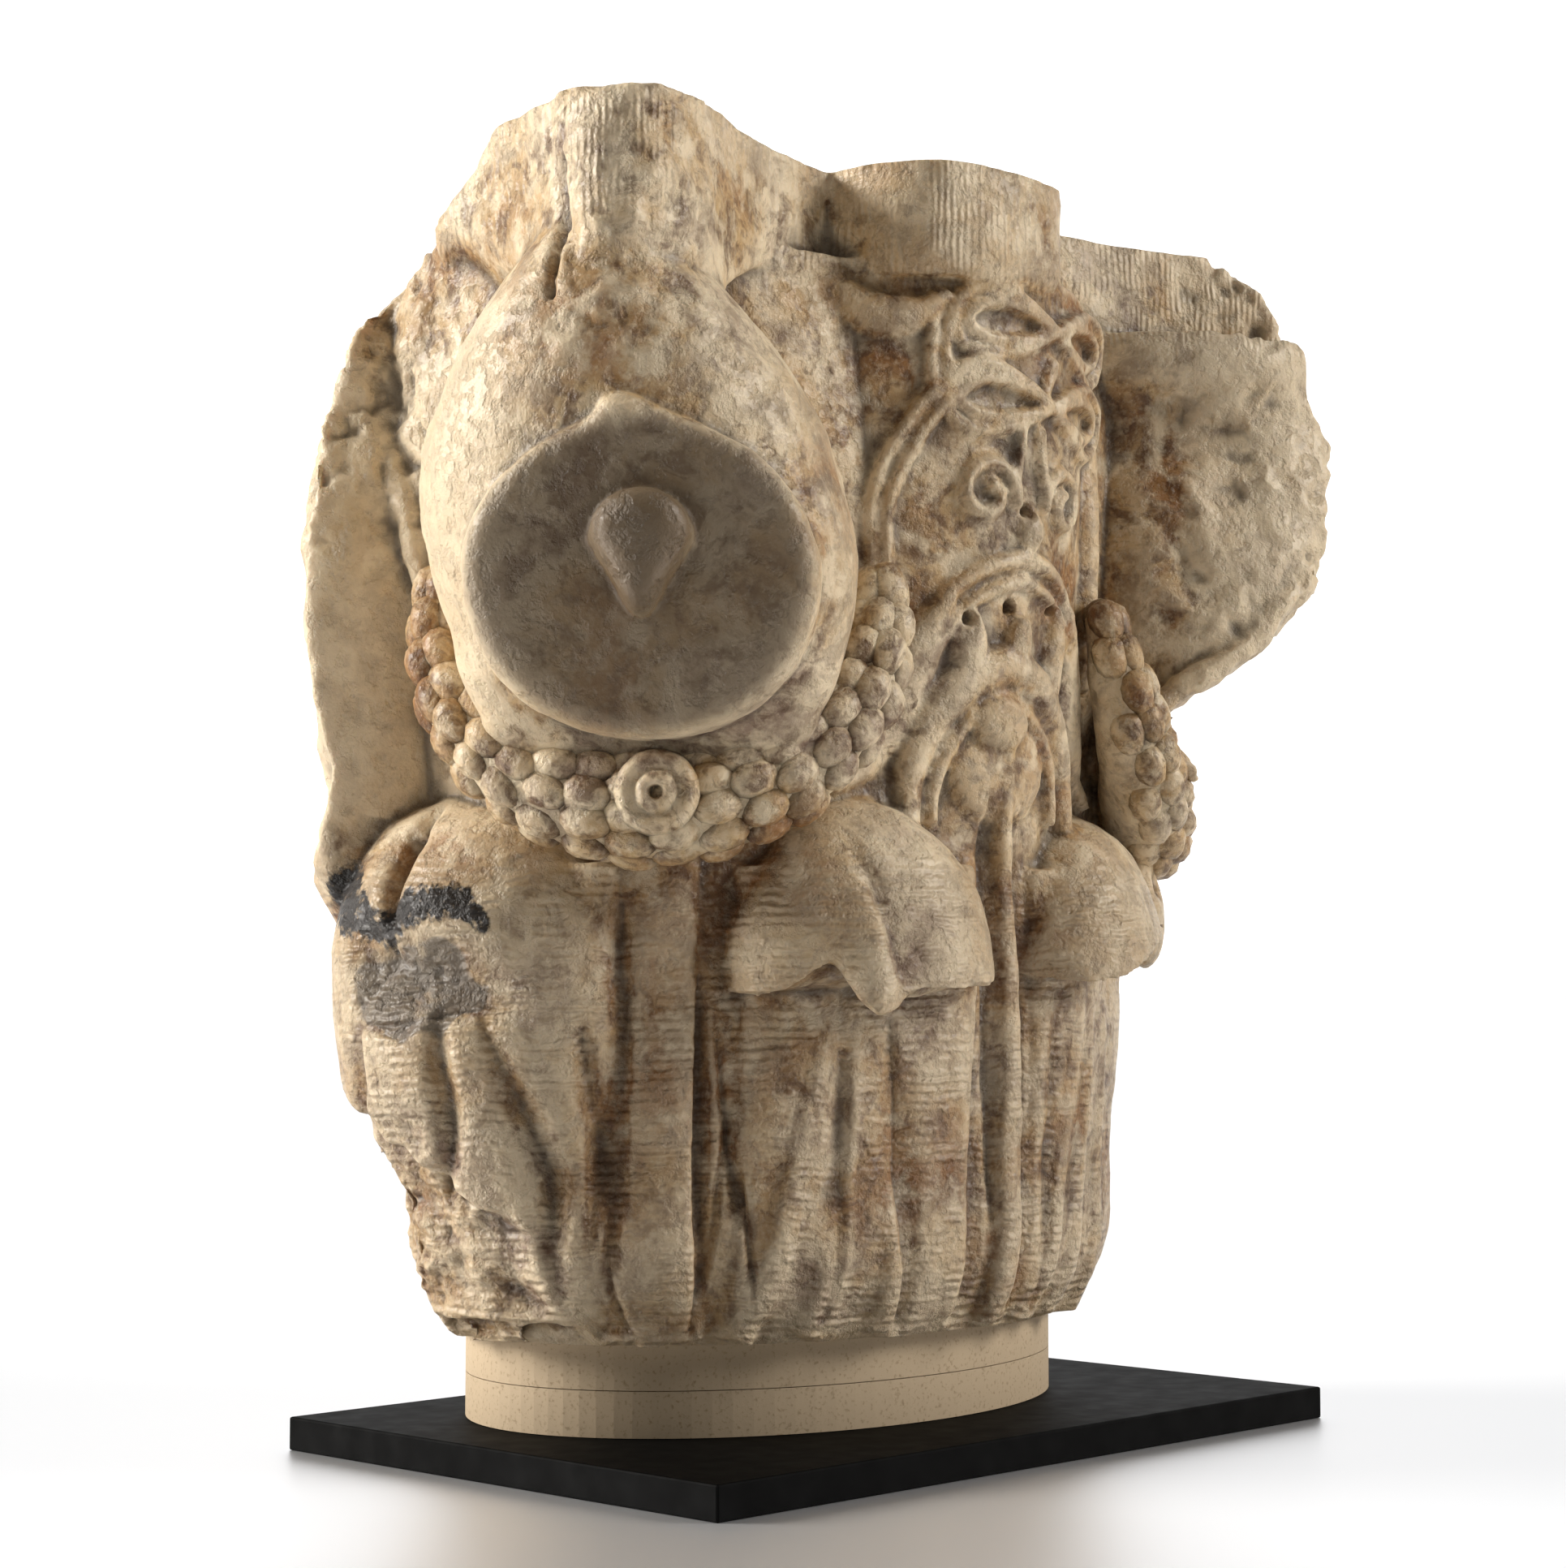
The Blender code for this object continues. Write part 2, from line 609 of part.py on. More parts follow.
def add_head(carving, face, middle, half_width, furthest, hooded):
    """A leaf's head: level half ovals on the wall, hooded ones cut below along a wavy line."""
    levels = HOODED_HEAD if hooded else WORN_HEAD
    rise, widths, reaches = np.array(levels, float).T
    at = np.linspace(rise[0], rise[-1], 24)
    half = half_width * smooth_profile(at, rise, widths)[:, None]
    reach = furthest * smooth_profile(at, rise, reaches)[:, None]
    across, outwards = filled_turn(HEAD_SQUARENESS, 36)
    out = outwards * np.where(outwards > 0, reach, HEAD_SUNK)
    level = face.place(middle, LEAF_FOOT)[1] * (1, 1, 0)
    level /= np.linalg.norm(level)
    height = LEAF_FOOT + at[:, None] * np.ones_like(out)
    head = face.place(middle + half * across, height)[0] + out[..., None] * level
    if hooded:
        under = LEAF_FOOT + np.interp(half / half_width * across, UNDER_STEPS, UNDER_RISES)
        under = under + UNDER_SLOPE * (1 - np.clip(out / LEAF_REACH, 0, 1))
        head[..., 2] = np.maximum(head[..., 2], under)
    carving.add(head)


def add_corner_band(carving, corner):
    """The plain band that runs up the bell under a corner, between two leaves."""
    heights = np.linspace(2, BAND_TOP, 14)
    half_u = smooth_profile(heights, BELL_HEIGHTS, BELL_HALF_U)
    half_v = smooth_profile(heights, BELL_HEIGHTS, BELL_HALF_V)
    turn = np.arctan2(corner.root[1] / half_v[0], corner.root[0] / half_u[0])
    path = np.column_stack([half_u * np.cos(turn), half_v * np.sin(turn), heights])
    outward = np.array([np.cos(turn) / half_u[0], np.sin(turn) / half_v[0], 0.0])
    outward /= np.linalg.norm(outward)
    carving.add(cord(path, outward, BAND_HALF, BAND_SWELL, sides=12))


def add_front(carving, face):
    """The long face: knot, scrolls, arch with its blades, three drops, palmette and midrib."""
    for middle in KNOT_RINGS:
        face.loop(carving, middle, KNOT_HALF, *KNOT_BAR)
    for route in (STALK, STALK_LINK, HALF_LEAF):
        face.strand(carving, route, *FACE_BAR)
    for side in (-1, 1):
        turn = np.linspace(0, SCROLL_TURN, 9)
        radius = SCROLL_RADIUS - SCROLL_CLOSING * turn
        run = FACE_AXIS + side * (SCROLL_STEP - radius * np.cos(turn))
        curl = np.column_stack([run, SCROLL_HEIGHT + radius * np.sin(turn)])
        face.strand(carving, curl, *SCROLL_BAR)
        half = [(FACE_AXIS + side * step, height) for step, height in ARCH_HALF]
        face.strand(carving, half, np.array(ARCH_WIDTHS), ARCH_SWELL, count=len(ARCH_WIDTHS))
    for run in DROPS:
        face.knob(carving, run, DROPS_HEIGHT, DROPS_RADII)
    face.knob(carving, FACE_AXIS, BUD_HEIGHT, BUD_RADII)
    face.strand(carving, PALMETTE, *PALMETTE_BAR)
    face.knob(carving, *PALMETTE_HEART, HEART_RADII)
    face.strand(carving, MIDRIB, *FACE_BAR)


def add_side(carving, face):
    """A short face: a palmette over its one broad leaf."""
    face.strand(carving, SIDE_PALMETTE, *SIDE_BAR)
    face.strand(carving, SIDE_MIDRIB, *SIDE_BAR)


def cutter(name, points, depth_to):
    """A hidden block to cut the stone with: a flat outline carried to a second copy of itself."""
    points = np.asarray(points, float)
    turns = np.cross(points, np.roll(points, -1, axis=0)).sum(axis=0)
    if turns @ depth_to < 0:
        points = points[::-1]
    rings = np.stack([points, points + np.asarray(depth_to, float)])
    block = Carving()
    block.add(rings)
    mesh = block.mesh(name)
    cut = bpy.data.objects.new(name, mesh)
    bpy.context.scene.collection.objects.link(cut)
    cut.hide_render = True
    cut.display_type = "WIRE"
    return cut


def add_boolean(thing, cut):
    """Cut the block out of the thing."""
    boolean = thing.modifiers.new(cut.name, "BOOLEAN")
    boolean.operation = "DIFFERENCE"
    boolean.solver = "EXACT"
    boolean.object = cut


def square(middle, first, second):
    """Four corners round a middle point."""
    signs = np.array([(-1, -1), (1, -1), (1, 1), (-1, 1)])
    return np.asarray(middle, float) + signs @ np.stack([first, second])


def material(name, colour, roughness):
    """A plain finish."""
    finish = bpy.data.materials.new(name)
    finish.use_nodes = True
    shader = finish.node_tree.nodes["Principled BSDF"]
    shader.inputs["Base Color"].default_value = (*colour, 1.0)
    shader.inputs["Roughness"].default_value = roughness
    shader.inputs["Metallic"].default_value = 0.0
    return finish


def link(name, mesh, finish):
    """Put a mesh in the scene as a named piece with its finish."""
    thing = bpy.data.objects.new(name, mesh)
    thing.data.materials.append(finish)
    bpy.context.scene.collection.objects.link(thing)
    return thing


def make_capital():
    """The stone itself, one block."""
    carving = Carving()
    add_bell(carving)
    add_bulges(carving)
    add_abacus(carving)
    front = Face(True, -1)
    back = Face(True, 1)
    left = Face(False, -1)
    right = Face(False, 1)
    for sign_u, sign_v in ((-1, -1), (1, -1), (1, 1), (-1, 1)):
        corner = Corner(sign_u, sign_v)
        if (sign_u, sign_v) != WORN_FOOT:
            add_corner_band(carving, corner)
        whole = (sign_u, sign_v) in WHOLE_CORNERS
        add_egg(carving, corner, (sign_u, sign_v) != CRISP_CORNER, 0.0 if whole else EGG_TRAIL)
        if whole:
            add_keel(carving, corner)
            add_disc(carving, corner)
            add_festoon(carving, corner, rows=BERRY_ROWS if sign_v < 0 else 0)
        if (sign_u, sign_v) == CRISP_CORNER:
            add_drop(carving, corner)
    for face in (front, back):
        for middle in LONG_LEAVES:
            add_leaf(carving, face, middle, LONG_LEAF_HALF)
            add_head(carving, face, middle, LONG_LEAF_HALF, LEAF_REACH, hooded=True)
        add_front(carving, face)
    for face, (middle, half_width, reach) in zip((left, right), SHORT_LEAVES):
        add_leaf(carving, face, middle, half_width)
        add_head(carving, face, middle, half_width, reach, hooded=False)
        add_side(carving, face)
    stone = link("capital", carving.mesh("capital"), material("marble", (0.62, 0.52, 0.40), 0.55))
    add_remesh(stone, "one_block")
    add_breaks(stone)
    add_remesh(stone, "worn_breaks")
    fewer = stone.modifiers.new("fewer_faces", "DECIMATE")
    fewer.ratio = STONE_FACES
    wide = np.array([(4 * BED_U, 0, 0), (0, 4 * BED_U, 0)])
    above = (0, 0, CUT_DEPTH)
    add_boolean(stone, cutter("cut_top", square((0, 0, TOP), *wide), above))
    add_boolean(stone, cutter("cut_bed", square((0, 0, -CUT_DEPTH), *wide), above))


def add_remesh(stone, name):
    """Fuse the overlapping shells, or what a break has left, to one closed skin."""
    remesh = stone.modifiers.new(name, "REMESH")
    remesh.mode = "VOXEL"
    remesh.voxel_size = CARVING_GRID * UNIT


def add_breaks(stone):
    """Take away what is broken off the corners."""
    for signs, (heights, reach) in BREAKS.items():
        corner = Corner(*signs)
        heights = (*heights, heights[-1], heights[0])
        reach = (*reach, BREAK_FAR, BREAK_FAR)
        points = corner.place(reach, -BREAK_HALF_WIDTH * np.ones(len(reach)), heights)
        add_boolean(stone, cutter(f"break_{corner.name}", points, corner.side * 2 * BREAK_HALF_WIDTH))


def make_collar():
    """Two oval boards, one on the other, under the stone's bed."""
    half_x = BED_U * UNIT - COLLAR_INSET
    half_y = BED_V * UNIT - COLLAR_INSET
    low = np.arange(COLLAR_SIDES)
    beside = np.roll(low, -1)
    sides = np.column_stack([low, beside, beside + COLLAR_SIDES, low + COLLAR_SIDES])
    for number, name in enumerate(COLLAR_BOARDS):
        foot = PLATE_THICKNESS + TOUCH_GAP + number * (COLLAR_BOARD + TOUCH_GAP)
        lower = oval_ring(half_x, half_y, foot, sides=COLLAR_SIDES)
        upper = oval_ring(half_x, half_y, foot + COLLAR_BOARD, sides=COLLAR_SIDES)
        board = np.concatenate([lower, upper]) + (STONE_SHIFT_X, STONE_SHIFT_Y, 0)
        mesh = bpy.data.meshes.new(name)
        faces = sides.tolist() + [low[::-1].tolist(), (low + COLLAR_SIDES).tolist()]
        mesh.from_pydata(board.tolist(), [], faces)
        link(name, mesh, material(name + "_paint", (0.50, 0.42, 0.33), 0.7))


def make_plate():
    """The flat base plate with its edges just broken."""
    half = np.array([PLATE_LENGTH, PLATE_DEPTH, PLATE_THICKNESS]) / 2
    signs = np.array([(x, y, z) for z in (-1, 1) for x, y in ((-1, -1), (1, -1), (1, 1), (-1, 1))])
    points = signs * half + (0, 0, half[2])
    faces = [(3, 2, 1, 0), (4, 5, 6, 7)]
    faces += [(i, (i + 1) % 4, (i + 1) % 4 + 4, i + 4) for i in range(4)]
    mesh = bpy.data.meshes.new("base_plate")
    mesh.from_pydata(points.tolist(), [], faces)
    plate = link("base_plate", mesh, material("black_paint", (0.008, 0.008, 0.009), 0.35))
    bevel = plate.modifiers.new("edge", "BEVEL")
    bevel.width = PLATE_EDGE
    bevel.segments = 2


def main():
    """Clear the scene and make the four pieces."""
    for thing in list(bpy.data.objects):
        bpy.data.objects.remove(thing, do_unlink=True)
    make_plate()
    make_collar()
    make_capital()


main()
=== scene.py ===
"""Looks of a broken marble capital on its oval collar and black base plate.

The stone is one piece: its forms are closed surfaces worked out on grids, fused on a voxel
grid, then weathered, grooved and drilled by moving the skin's points. Its own frame (u, v, w)
stands on the middle of its bed and is in units of one CARVING_UNITS-th of the stone's height.
"""

import logging
from dataclasses import dataclass
from enum import Enum

import bpy
import numpy as np
from mathutils import Matrix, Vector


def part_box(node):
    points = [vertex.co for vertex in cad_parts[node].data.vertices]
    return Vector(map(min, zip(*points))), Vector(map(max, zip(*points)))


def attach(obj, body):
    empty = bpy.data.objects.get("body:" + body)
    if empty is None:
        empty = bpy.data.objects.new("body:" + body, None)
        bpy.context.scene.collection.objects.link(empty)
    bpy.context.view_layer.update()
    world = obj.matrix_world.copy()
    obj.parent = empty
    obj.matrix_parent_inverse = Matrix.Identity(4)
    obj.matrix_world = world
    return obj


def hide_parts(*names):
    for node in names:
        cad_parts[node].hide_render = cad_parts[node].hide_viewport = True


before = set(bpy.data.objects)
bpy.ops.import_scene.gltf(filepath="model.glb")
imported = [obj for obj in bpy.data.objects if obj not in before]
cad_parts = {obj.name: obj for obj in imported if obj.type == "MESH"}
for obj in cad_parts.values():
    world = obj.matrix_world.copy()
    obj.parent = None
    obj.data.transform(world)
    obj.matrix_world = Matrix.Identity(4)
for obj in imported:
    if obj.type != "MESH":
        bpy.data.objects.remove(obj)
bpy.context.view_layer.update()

logging.basicConfig(level=logging.INFO, format="%(name)s: %(message)s")
log = logging.getLogger("capital")

MM = 0.001
CARVING_UNITS = 413.4
TOP = CARVING_UNITS
LIP = 381.0
UP = np.array([0.0, 0.0, 1.0])
NOISE_DIRECTIONS = 256
NOISE_PRIMES = np.array([73856093, 19349663, 83492791])


def smooth_profile(at: np.ndarray, knots: tuple, values: tuple) -> np.ndarray:
    """Read a smooth curve that runs through a few given values.

    The curve is a cubic between each two knots, with the slope at a knot taken from its
    neighbours.

    Args:
        at: Where to read the curve.
        knots: Rising places of the given values.
        values: The values there.

    Returns:
        The curve's value at each place, held constant beyond the ends.
    """
    knots = np.asarray(knots, float)
    values = np.asarray(values, float)
    slopes = np.gradient(values, knots)
    at = np.clip(at, knots[0], knots[-1])
    low = np.clip(np.searchsorted(knots, at, side="right") - 1, 0, len(knots) - 2)
    step = knots[low + 1] - knots[low]
    t = (at - knots[low]) / step
    return (
        values[low] * (2 * t**3 - 3 * t**2 + 1)
        + slopes[low] * step * (t**3 - 2 * t**2 + t)
        + values[low + 1] * (3 * t**2 - 2 * t**3)
        + slopes[low + 1] * step * (t**3 - t**2)
    )


def unit(vectors: np.ndarray) -> np.ndarray:
    """Scale the vectors along the last axis to length one."""
    return vectors / np.linalg.norm(vectors, axis=-1, keepdims=True)


def run_along(points: np.ndarray) -> np.ndarray:
    """How far each point lies along the line through all of them."""
    steps = np.linalg.norm(np.diff(points, axis=0), axis=1)
    return np.concatenate([[0], np.cumsum(steps)])


def smooth_path(points: tuple, count: int) -> np.ndarray:
    """Spread points evenly along a smooth curve through the given ones.

    Args:
        points: The places that the curve runs through.
        count: How many points to return.

    Returns:
        An array of count points.
    """
    points = np.asarray(points, float)
    run = run_along(points)
    at = np.linspace(0, run[-1], count)
    return np.stack([smooth_profile(at, run, column) for column in points.T], axis=-1)


def turns(count: int) -> np.ndarray:
    """Even angles round a full turn."""
    return np.linspace(0, 2 * np.pi, count, endpoint=False)


def powered(values: np.ndarray, power: float) -> np.ndarray:
    """Raise values to a power and keep their signs, as a superellipse's two halves need."""
    return np.sign(values) * np.abs(values) ** power


def oval_ring(
    half_u: float,
    half_v: float,
    height: float,
    squareness: float = 2.0,
    middle_u: float = 0.0,
    sides: int = 180,
) -> np.ndarray:
    """A level ring u = a cos^p t, v = b sin^p t with p = 2 / squareness.

    Args:
        half_u: Half length of the oval.
        half_v: Half width of the oval.
        height: Its height.
        squareness: 2 for an ellipse, more to fill its corners out.
        middle_u: Where its middle stands along u.
        sides: How many points.

    Returns:
        The ring's points.
    """
    turn = turns(sides)
    power = 2.0 / squareness
    ring_u = half_u * powered(np.cos(turn), power) + middle_u
    ring_v = half_v * powered(np.sin(turn), power)
    return np.stack([ring_u, ring_v, np.full(sides, float(height))], axis=-1)


def ovoid(
    middle: np.ndarray, axes: list, radii: tuple, rows: int = 17, sides: int = 24
) -> np.ndarray:
    """An ellipsoid: (a cos s cos t, b cos s sin t, c sin s) along three axes.

    Args:
        middle: Its centre.
        axes: Its three axes, the last through its poles.
        radii: Its three radii.
        rows: Rings from pole to pole.
        sides: Points in each ring.

    Returns:
        The rings.
    """
    rise = np.linspace(-0.5 * np.pi + 0.02, 0.5 * np.pi - 0.02, rows)[:, None]
    turn = turns(sides)[None, :]
    local = (
        radii[0] * np.cos(rise) * np.cos(turn),
        radii[1] * np.cos(rise) * np.sin(turn),
        radii[2] * np.sin(rise) * np.ones_like(turn),
    )
    local = np.stack(local, axis=-1)
    return local @ np.asarray(axes, float) + np.asarray(middle, float)


def bar(
    path: np.ndarray, facing: np.ndarray, width: np.ndarray, height: np.ndarray, sides: int = 14
) -> np.ndarray:
    """An oval section w cos t across and h sin t outwards, carried along a path.

    Args:
        path: The bar's middle line.
        facing: The outward direction of the wall that it lies on.
        width: Half width, one value or one for each point.
        height: Half height, one value or one for each point.
        sides: Points in each section.

    Returns:
        The rings.
    """
    path = np.asarray(path, float)
    along = unit(np.gradient(path, axis=0))
    facing = np.broadcast_to(np.asarray(facing, float), path.shape)
    across = unit(np.cross(along, facing))
    out = np.cross(across, along)
    turn = turns(sides)
    width = np.broadcast_to(np.asarray(width, float), len(path))[:, None, None]
    height = np.broadcast_to(np.asarray(height, float), len(path))[:, None, None]
    return (
        path[:, None, :]
        + across[:, None, :] * np.cos(turn)[None, :, None] * width
        + out[:, None, :] * np.sin(turn)[None, :, None] * height
    )


def lattice_noise(points: np.ndarray, cell: float, seed: int) -> np.ndarray:
    """Gradient noise: each lattice corner holds a direction, blended by a quintic ease.

    Args:
        points: Where to read it.
        cell: Size of one lattice cell, in the points' unit.
        seed: Picks the pattern.

    Returns:
        One value for each point, from about -1 to 1.
    """
    directions = unit(np.random.default_rng(seed).normal(size=(NOISE_DIRECTIONS, 3)))
    place = points / cell
    base = np.floor(place).astype(np.int64)
    part = place - base
    ease = part**3 * (part * (part * 6 - 15) + 10)
    total = np.zeros(len(points))
    for corner in np.ndindex(2, 2, 2):
        at = base + corner
        key = np.bitwise_xor.reduce(at * NOISE_PRIMES, axis=1)
        slope = directions[(key ^ (key >> 13)) & (NOISE_DIRECTIONS - 1)]
        weight = np.prod(np.where(corner, ease, 1 - ease), axis=1)
        total += weight * np.einsum("ij,ij->i", slope, part - corner)
    return total * 1.6


def rough_noise(points: np.ndarray, cell: float, octaves: int, seed: int) -> np.ndarray:
    """Noise summed over octaves, each at half the cell and half the strength."""
    layers = [lattice_noise(points, cell / 2**n, seed + n) / 2**n for n in range(octaves)]
    return np.sum(layers, axis=0)


def soft_step(value: np.ndarray, low: float, high: float) -> np.ndarray:
    """Ease from 0 at low to 1 at high, either way round: t t (3 - 2 t)."""
    t = np.clip((value - low) / (high - low), 0, 1)
    return t * t * (3 - 2 * t)


class Side(Enum):
    """The four walls of the stone: whether long, and which way it looks."""

    FRONT = (True, -1)
    BACK = (True, 1)
    LEFT = (False, -1)
    RIGHT = (False, 1)


@dataclass(frozen=True)
class Body:
    """The oval bell and the bulges of its faces, all as half axes by height."""

    bell_heights: tuple = (-4, 6, 16, 60, 150, 200, 250, LIP)
    bell_half_u: tuple = (136, 141, 147, 151, 151, 142, 120, 112)
    bell_half_v: tuple = (96, 101, 106, 110, 110, 104, 92, 86)
    long_middle: float = 8.0
    long_heights: tuple = (120, 185, 238, 276, 300, LIP)
    long_half_u: tuple = (112, 108, 106, 104, 102, 102)
    long_half_v: tuple = (104, 110, 115, 121, 123, 125)
    short_heights: tuple = (120, 185, 238, 276, 300, LIP)
    short_half_u: tuple = (142, 150, 160, 166, 168, 166)
    short_half_v: tuple = (92, 96, 100, 102, 102, 98)
    short_squareness: float = 2.5

    def bell_axes(self, height: np.ndarray) -> tuple:
        """Half length and half width of the bell at a height.

        Args:
            height: Where to read them.

        Returns:
            The half length and the half width.
        """
        return (
            smooth_profile(height, self.bell_heights, self.bell_half_u),
            smooth_profile(height, self.bell_heights, self.bell_half_v),
        )

    def shells(self) -> list:
        """The bell, the long faces' bulge and the short faces' bulge, each a stack of ovals.

        Returns:
            Stacks of rings.
        """
        heights = np.linspace(self.bell_heights[0], LIP, 120)
        bell = [oval_ring(a, b, w) for a, b, w in zip(*self.bell_axes(heights), heights)]
        heights = np.linspace(self.long_heights[0], LIP, 80)
        half_u = smooth_profile(heights, self.long_heights, self.long_half_u)
        half_v = smooth_profile(heights, self.long_heights, self.long_half_v)
        rows = zip(half_u, half_v, heights)
        long = [oval_ring(a, b, w, middle_u=self.long_middle) for a, b, w in rows]
        half_u = smooth_profile(heights, self.short_heights, self.short_half_u)
        half_v = smooth_profile(heights, self.short_heights, self.short_half_v)
        rows = zip(half_u, half_v, heights)
        short = [oval_ring(a, b, w, self.short_squareness) for a, b, w in rows]
        return [np.array(bell), np.array(long), np.array(short)]


@dataclass(frozen=True)
class Wall:
    """One wall of the body, addressed by a run along it and a height."""

    body: Body
    side: Side

    def depth(self, run: np.ndarray, height: np.ndarray) -> np.ndarray:
        """How far the wall stands from the stone's middle: the outer of bulge and bell.

        Args:
            run: Place along the wall.
            height: Height on it.

        Returns:
            The depth at each place.
        """
        body = self.body
        half_u, half_v = body.bell_axes(height)
        if self.side.value[0]:
            across = smooth_profile(height, body.long_heights, body.long_half_u)
            across = (run - body.long_middle) / across
            bulge = smooth_profile(height, body.long_heights, body.long_half_v)
            bulge = bulge * np.sqrt(np.clip(1 - across**2, 0, None))
            bell = half_v * np.sqrt(np.clip(1 - (run / half_u) ** 2, 0, None))
        else:
            across = np.abs(run) / smooth_profile(height, body.short_heights, body.short_half_v)
            bulge = smooth_profile(height, body.short_heights, body.short_half_u)
            fill = np.clip(1 - across**body.short_squareness, 0, None)
            bulge = bulge * fill ** (1 / body.short_squareness)
            bell = half_u * np.sqrt(np.clip(1 - (run / half_v) ** 2, 0, None))
        return np.where(height > body.long_heights[0], np.maximum(bulge, bell), bell)

    def turn(self, local: np.ndarray) -> np.ndarray:
        """Turn run, depth and height into the stone's own frame.

        Args:
            local: Run, depth and height, along the last axis.

        Returns:
            The points.
        """
        run, depth, height = np.moveaxis(local, -1, 0)
        long_side, sign = self.side.value
        level = (run, sign * depth) if long_side else (sign * depth, run)
        return np.stack([*level, height], axis=-1)

    def place(self, run: np.ndarray, height: np.ndarray, out: np.ndarray = 0.0) -> tuple:
        """Points on the wall and the wall's outward direction there.

        Args:
            run: Place along the wall.
            height: Height on it.
            out: How far to stand off it.

        Returns:
            The points and the directions.
        """
        run = np.asarray(run, float) * np.ones_like(np.asarray(height, float))
        height = np.asarray(height, float) * np.ones_like(run)
        lean = (self.depth(run + 1.0, height) - self.depth(run - 1.0, height)) / 2
        rise = (self.depth(run, height + 1.0) - self.depth(run, height - 1.0)) / 2
        normal = unit(np.stack([-lean, np.ones_like(run), -rise], axis=-1))
        local = np.stack([run, self.depth(run, height), height], axis=-1)
        local = local + normal * np.asarray(out, float)[..., None]
        return self.turn(local), self.turn(normal)

    def axes(self, run: float, height: float, out: float = 0.0) -> tuple:
        """A point on the wall with its axes: across, up along the wall, and outwards.

        Args:
            run: Place along the wall.
            height: Height on it.
            out: How far off it.

        Returns:
            The point and the list of its axes.
        """
        at, normal = self.place(run, height, out)
        across = unit(np.cross(UP, normal))
        return at, [across, np.cross(normal, across), normal]

    def strand(
        self, points: tuple, width: tuple, height: float, count: int, out: float = 0.0
    ) -> np.ndarray:
        """A bar on the wall through a few places given by run and height.

        Args:
            points: The places.
            width: Half width, one value or a few spread along the strand.
            height: Half height.
            count: Sections along it.
            out: How far its middle stands off the wall.

        Returns:
            The rings.
        """
        route = smooth_path(points, count)
        path, normal = self.place(route[:, 0], route[:, 1], out)
        width = np.atleast_1d(np.asarray(width, float))
        if len(width) > 1:
            width = smooth_profile(np.linspace(0, 1, count), np.linspace(0, 1, len(width)), width)
        return bar(path, normal, width, height)

    def knob(self, run: float, height: float, radii: tuple, out: float = 0.0) -> np.ndarray:
        """A rounded boss on the wall: half width, half height and swell."""
        at, axes = self.axes(run, height, out)
        return ovoid(at, axes, radii)


@dataclass(frozen=True)
class Corner:
    """The frame of one corner: outwards along its axis, to the side, and up."""

    sign_u: int
    sign_v: int
    middle_u: float = 4.0
    root_u: float = 116.0
    root_v: float = 58.0
    splay: float = np.radians(42.0)

    @property
    def out(self) -> np.ndarray:
        """The corner's axis, level and outwards."""
        return np.array([self.sign_u * np.cos(self.splay), self.sign_v * np.sin(self.splay), 0.0])

    @property
    def side(self) -> np.ndarray:
        """The level direction across the axis."""
        return np.array([-self.out[1], self.out[0], 0.0])

    @property
    def mirror(self) -> int:
        """1 where the side direction points to the long face, -1 where it points away."""
        return self.sign_u * self.sign_v

    @property
    def root(self) -> np.ndarray:
        """Where the axis leaves the bell, at the height of the bed."""
        return np.array([self.middle_u + self.sign_u * self.root_u, self.sign_v * self.root_v, 0.0])

    def place(self, out: np.ndarray, side: np.ndarray, height: np.ndarray) -> np.ndarray:
        """Points from their reach along the axis, their side step and their height."""
        out, side, height = (np.asarray(value, float)[..., None] for value in (out, side, height))
        return self.root + out * self.out + side * self.side + height * UP

    def read(self, points: np.ndarray) -> tuple:
        """The reach, side step and height of points."""
        local = points - self.root
        return local @ self.out, local @ self.side, local[..., 2]


LEFT_FRONT = Corner(-1, -1)
RIGHT_FRONT = Corner(1, -1)
RIGHT_BACK = Corner(1, 1)
LEFT_BACK = Corner(-1, 1)


@dataclass(frozen=True)
class Break:
    """A broken side: how far out the stone still reaches along a corner's axis, by height."""

    corner: Corner
    heights: tuple
    reach: tuple
    roughness: float = 3.0

    def press(self, points: np.ndarray) -> np.ndarray:
        """Push back what stands beyond the break, onto an uneven face.

        Args:
            points: Any points of the stone.

        Returns:
            The points with those beyond the break moved onto it.
        """
        flat = points.reshape(-1, 3)
        out, _, height = self.corner.read(flat)
        limit = np.interp(height, self.heights, self.reach)
        near = np.flatnonzero(out > limit - 4 * self.roughness)
        if len(near) == 0:
            return points
        uneven = rough_noise(flat[near], 34.0, 3, 71)
        uneven = uneven + 0.5 * np.abs(lattice_noise(flat[near], 13.0, 83))
        over = out[near] - limit[near] - self.roughness * uneven
        moved = flat.copy()
        moved[near] -= np.clip(over, 0, None)[:, None] * self.corner.out
        return moved.reshape(points.shape)

    def keeps(self, points: np.ndarray) -> np.ndarray:
        """Which points the break left standing."""
        out, _, height = self.corner.read(points)
        return out < np.interp(height, self.heights, self.reach) + 2.0


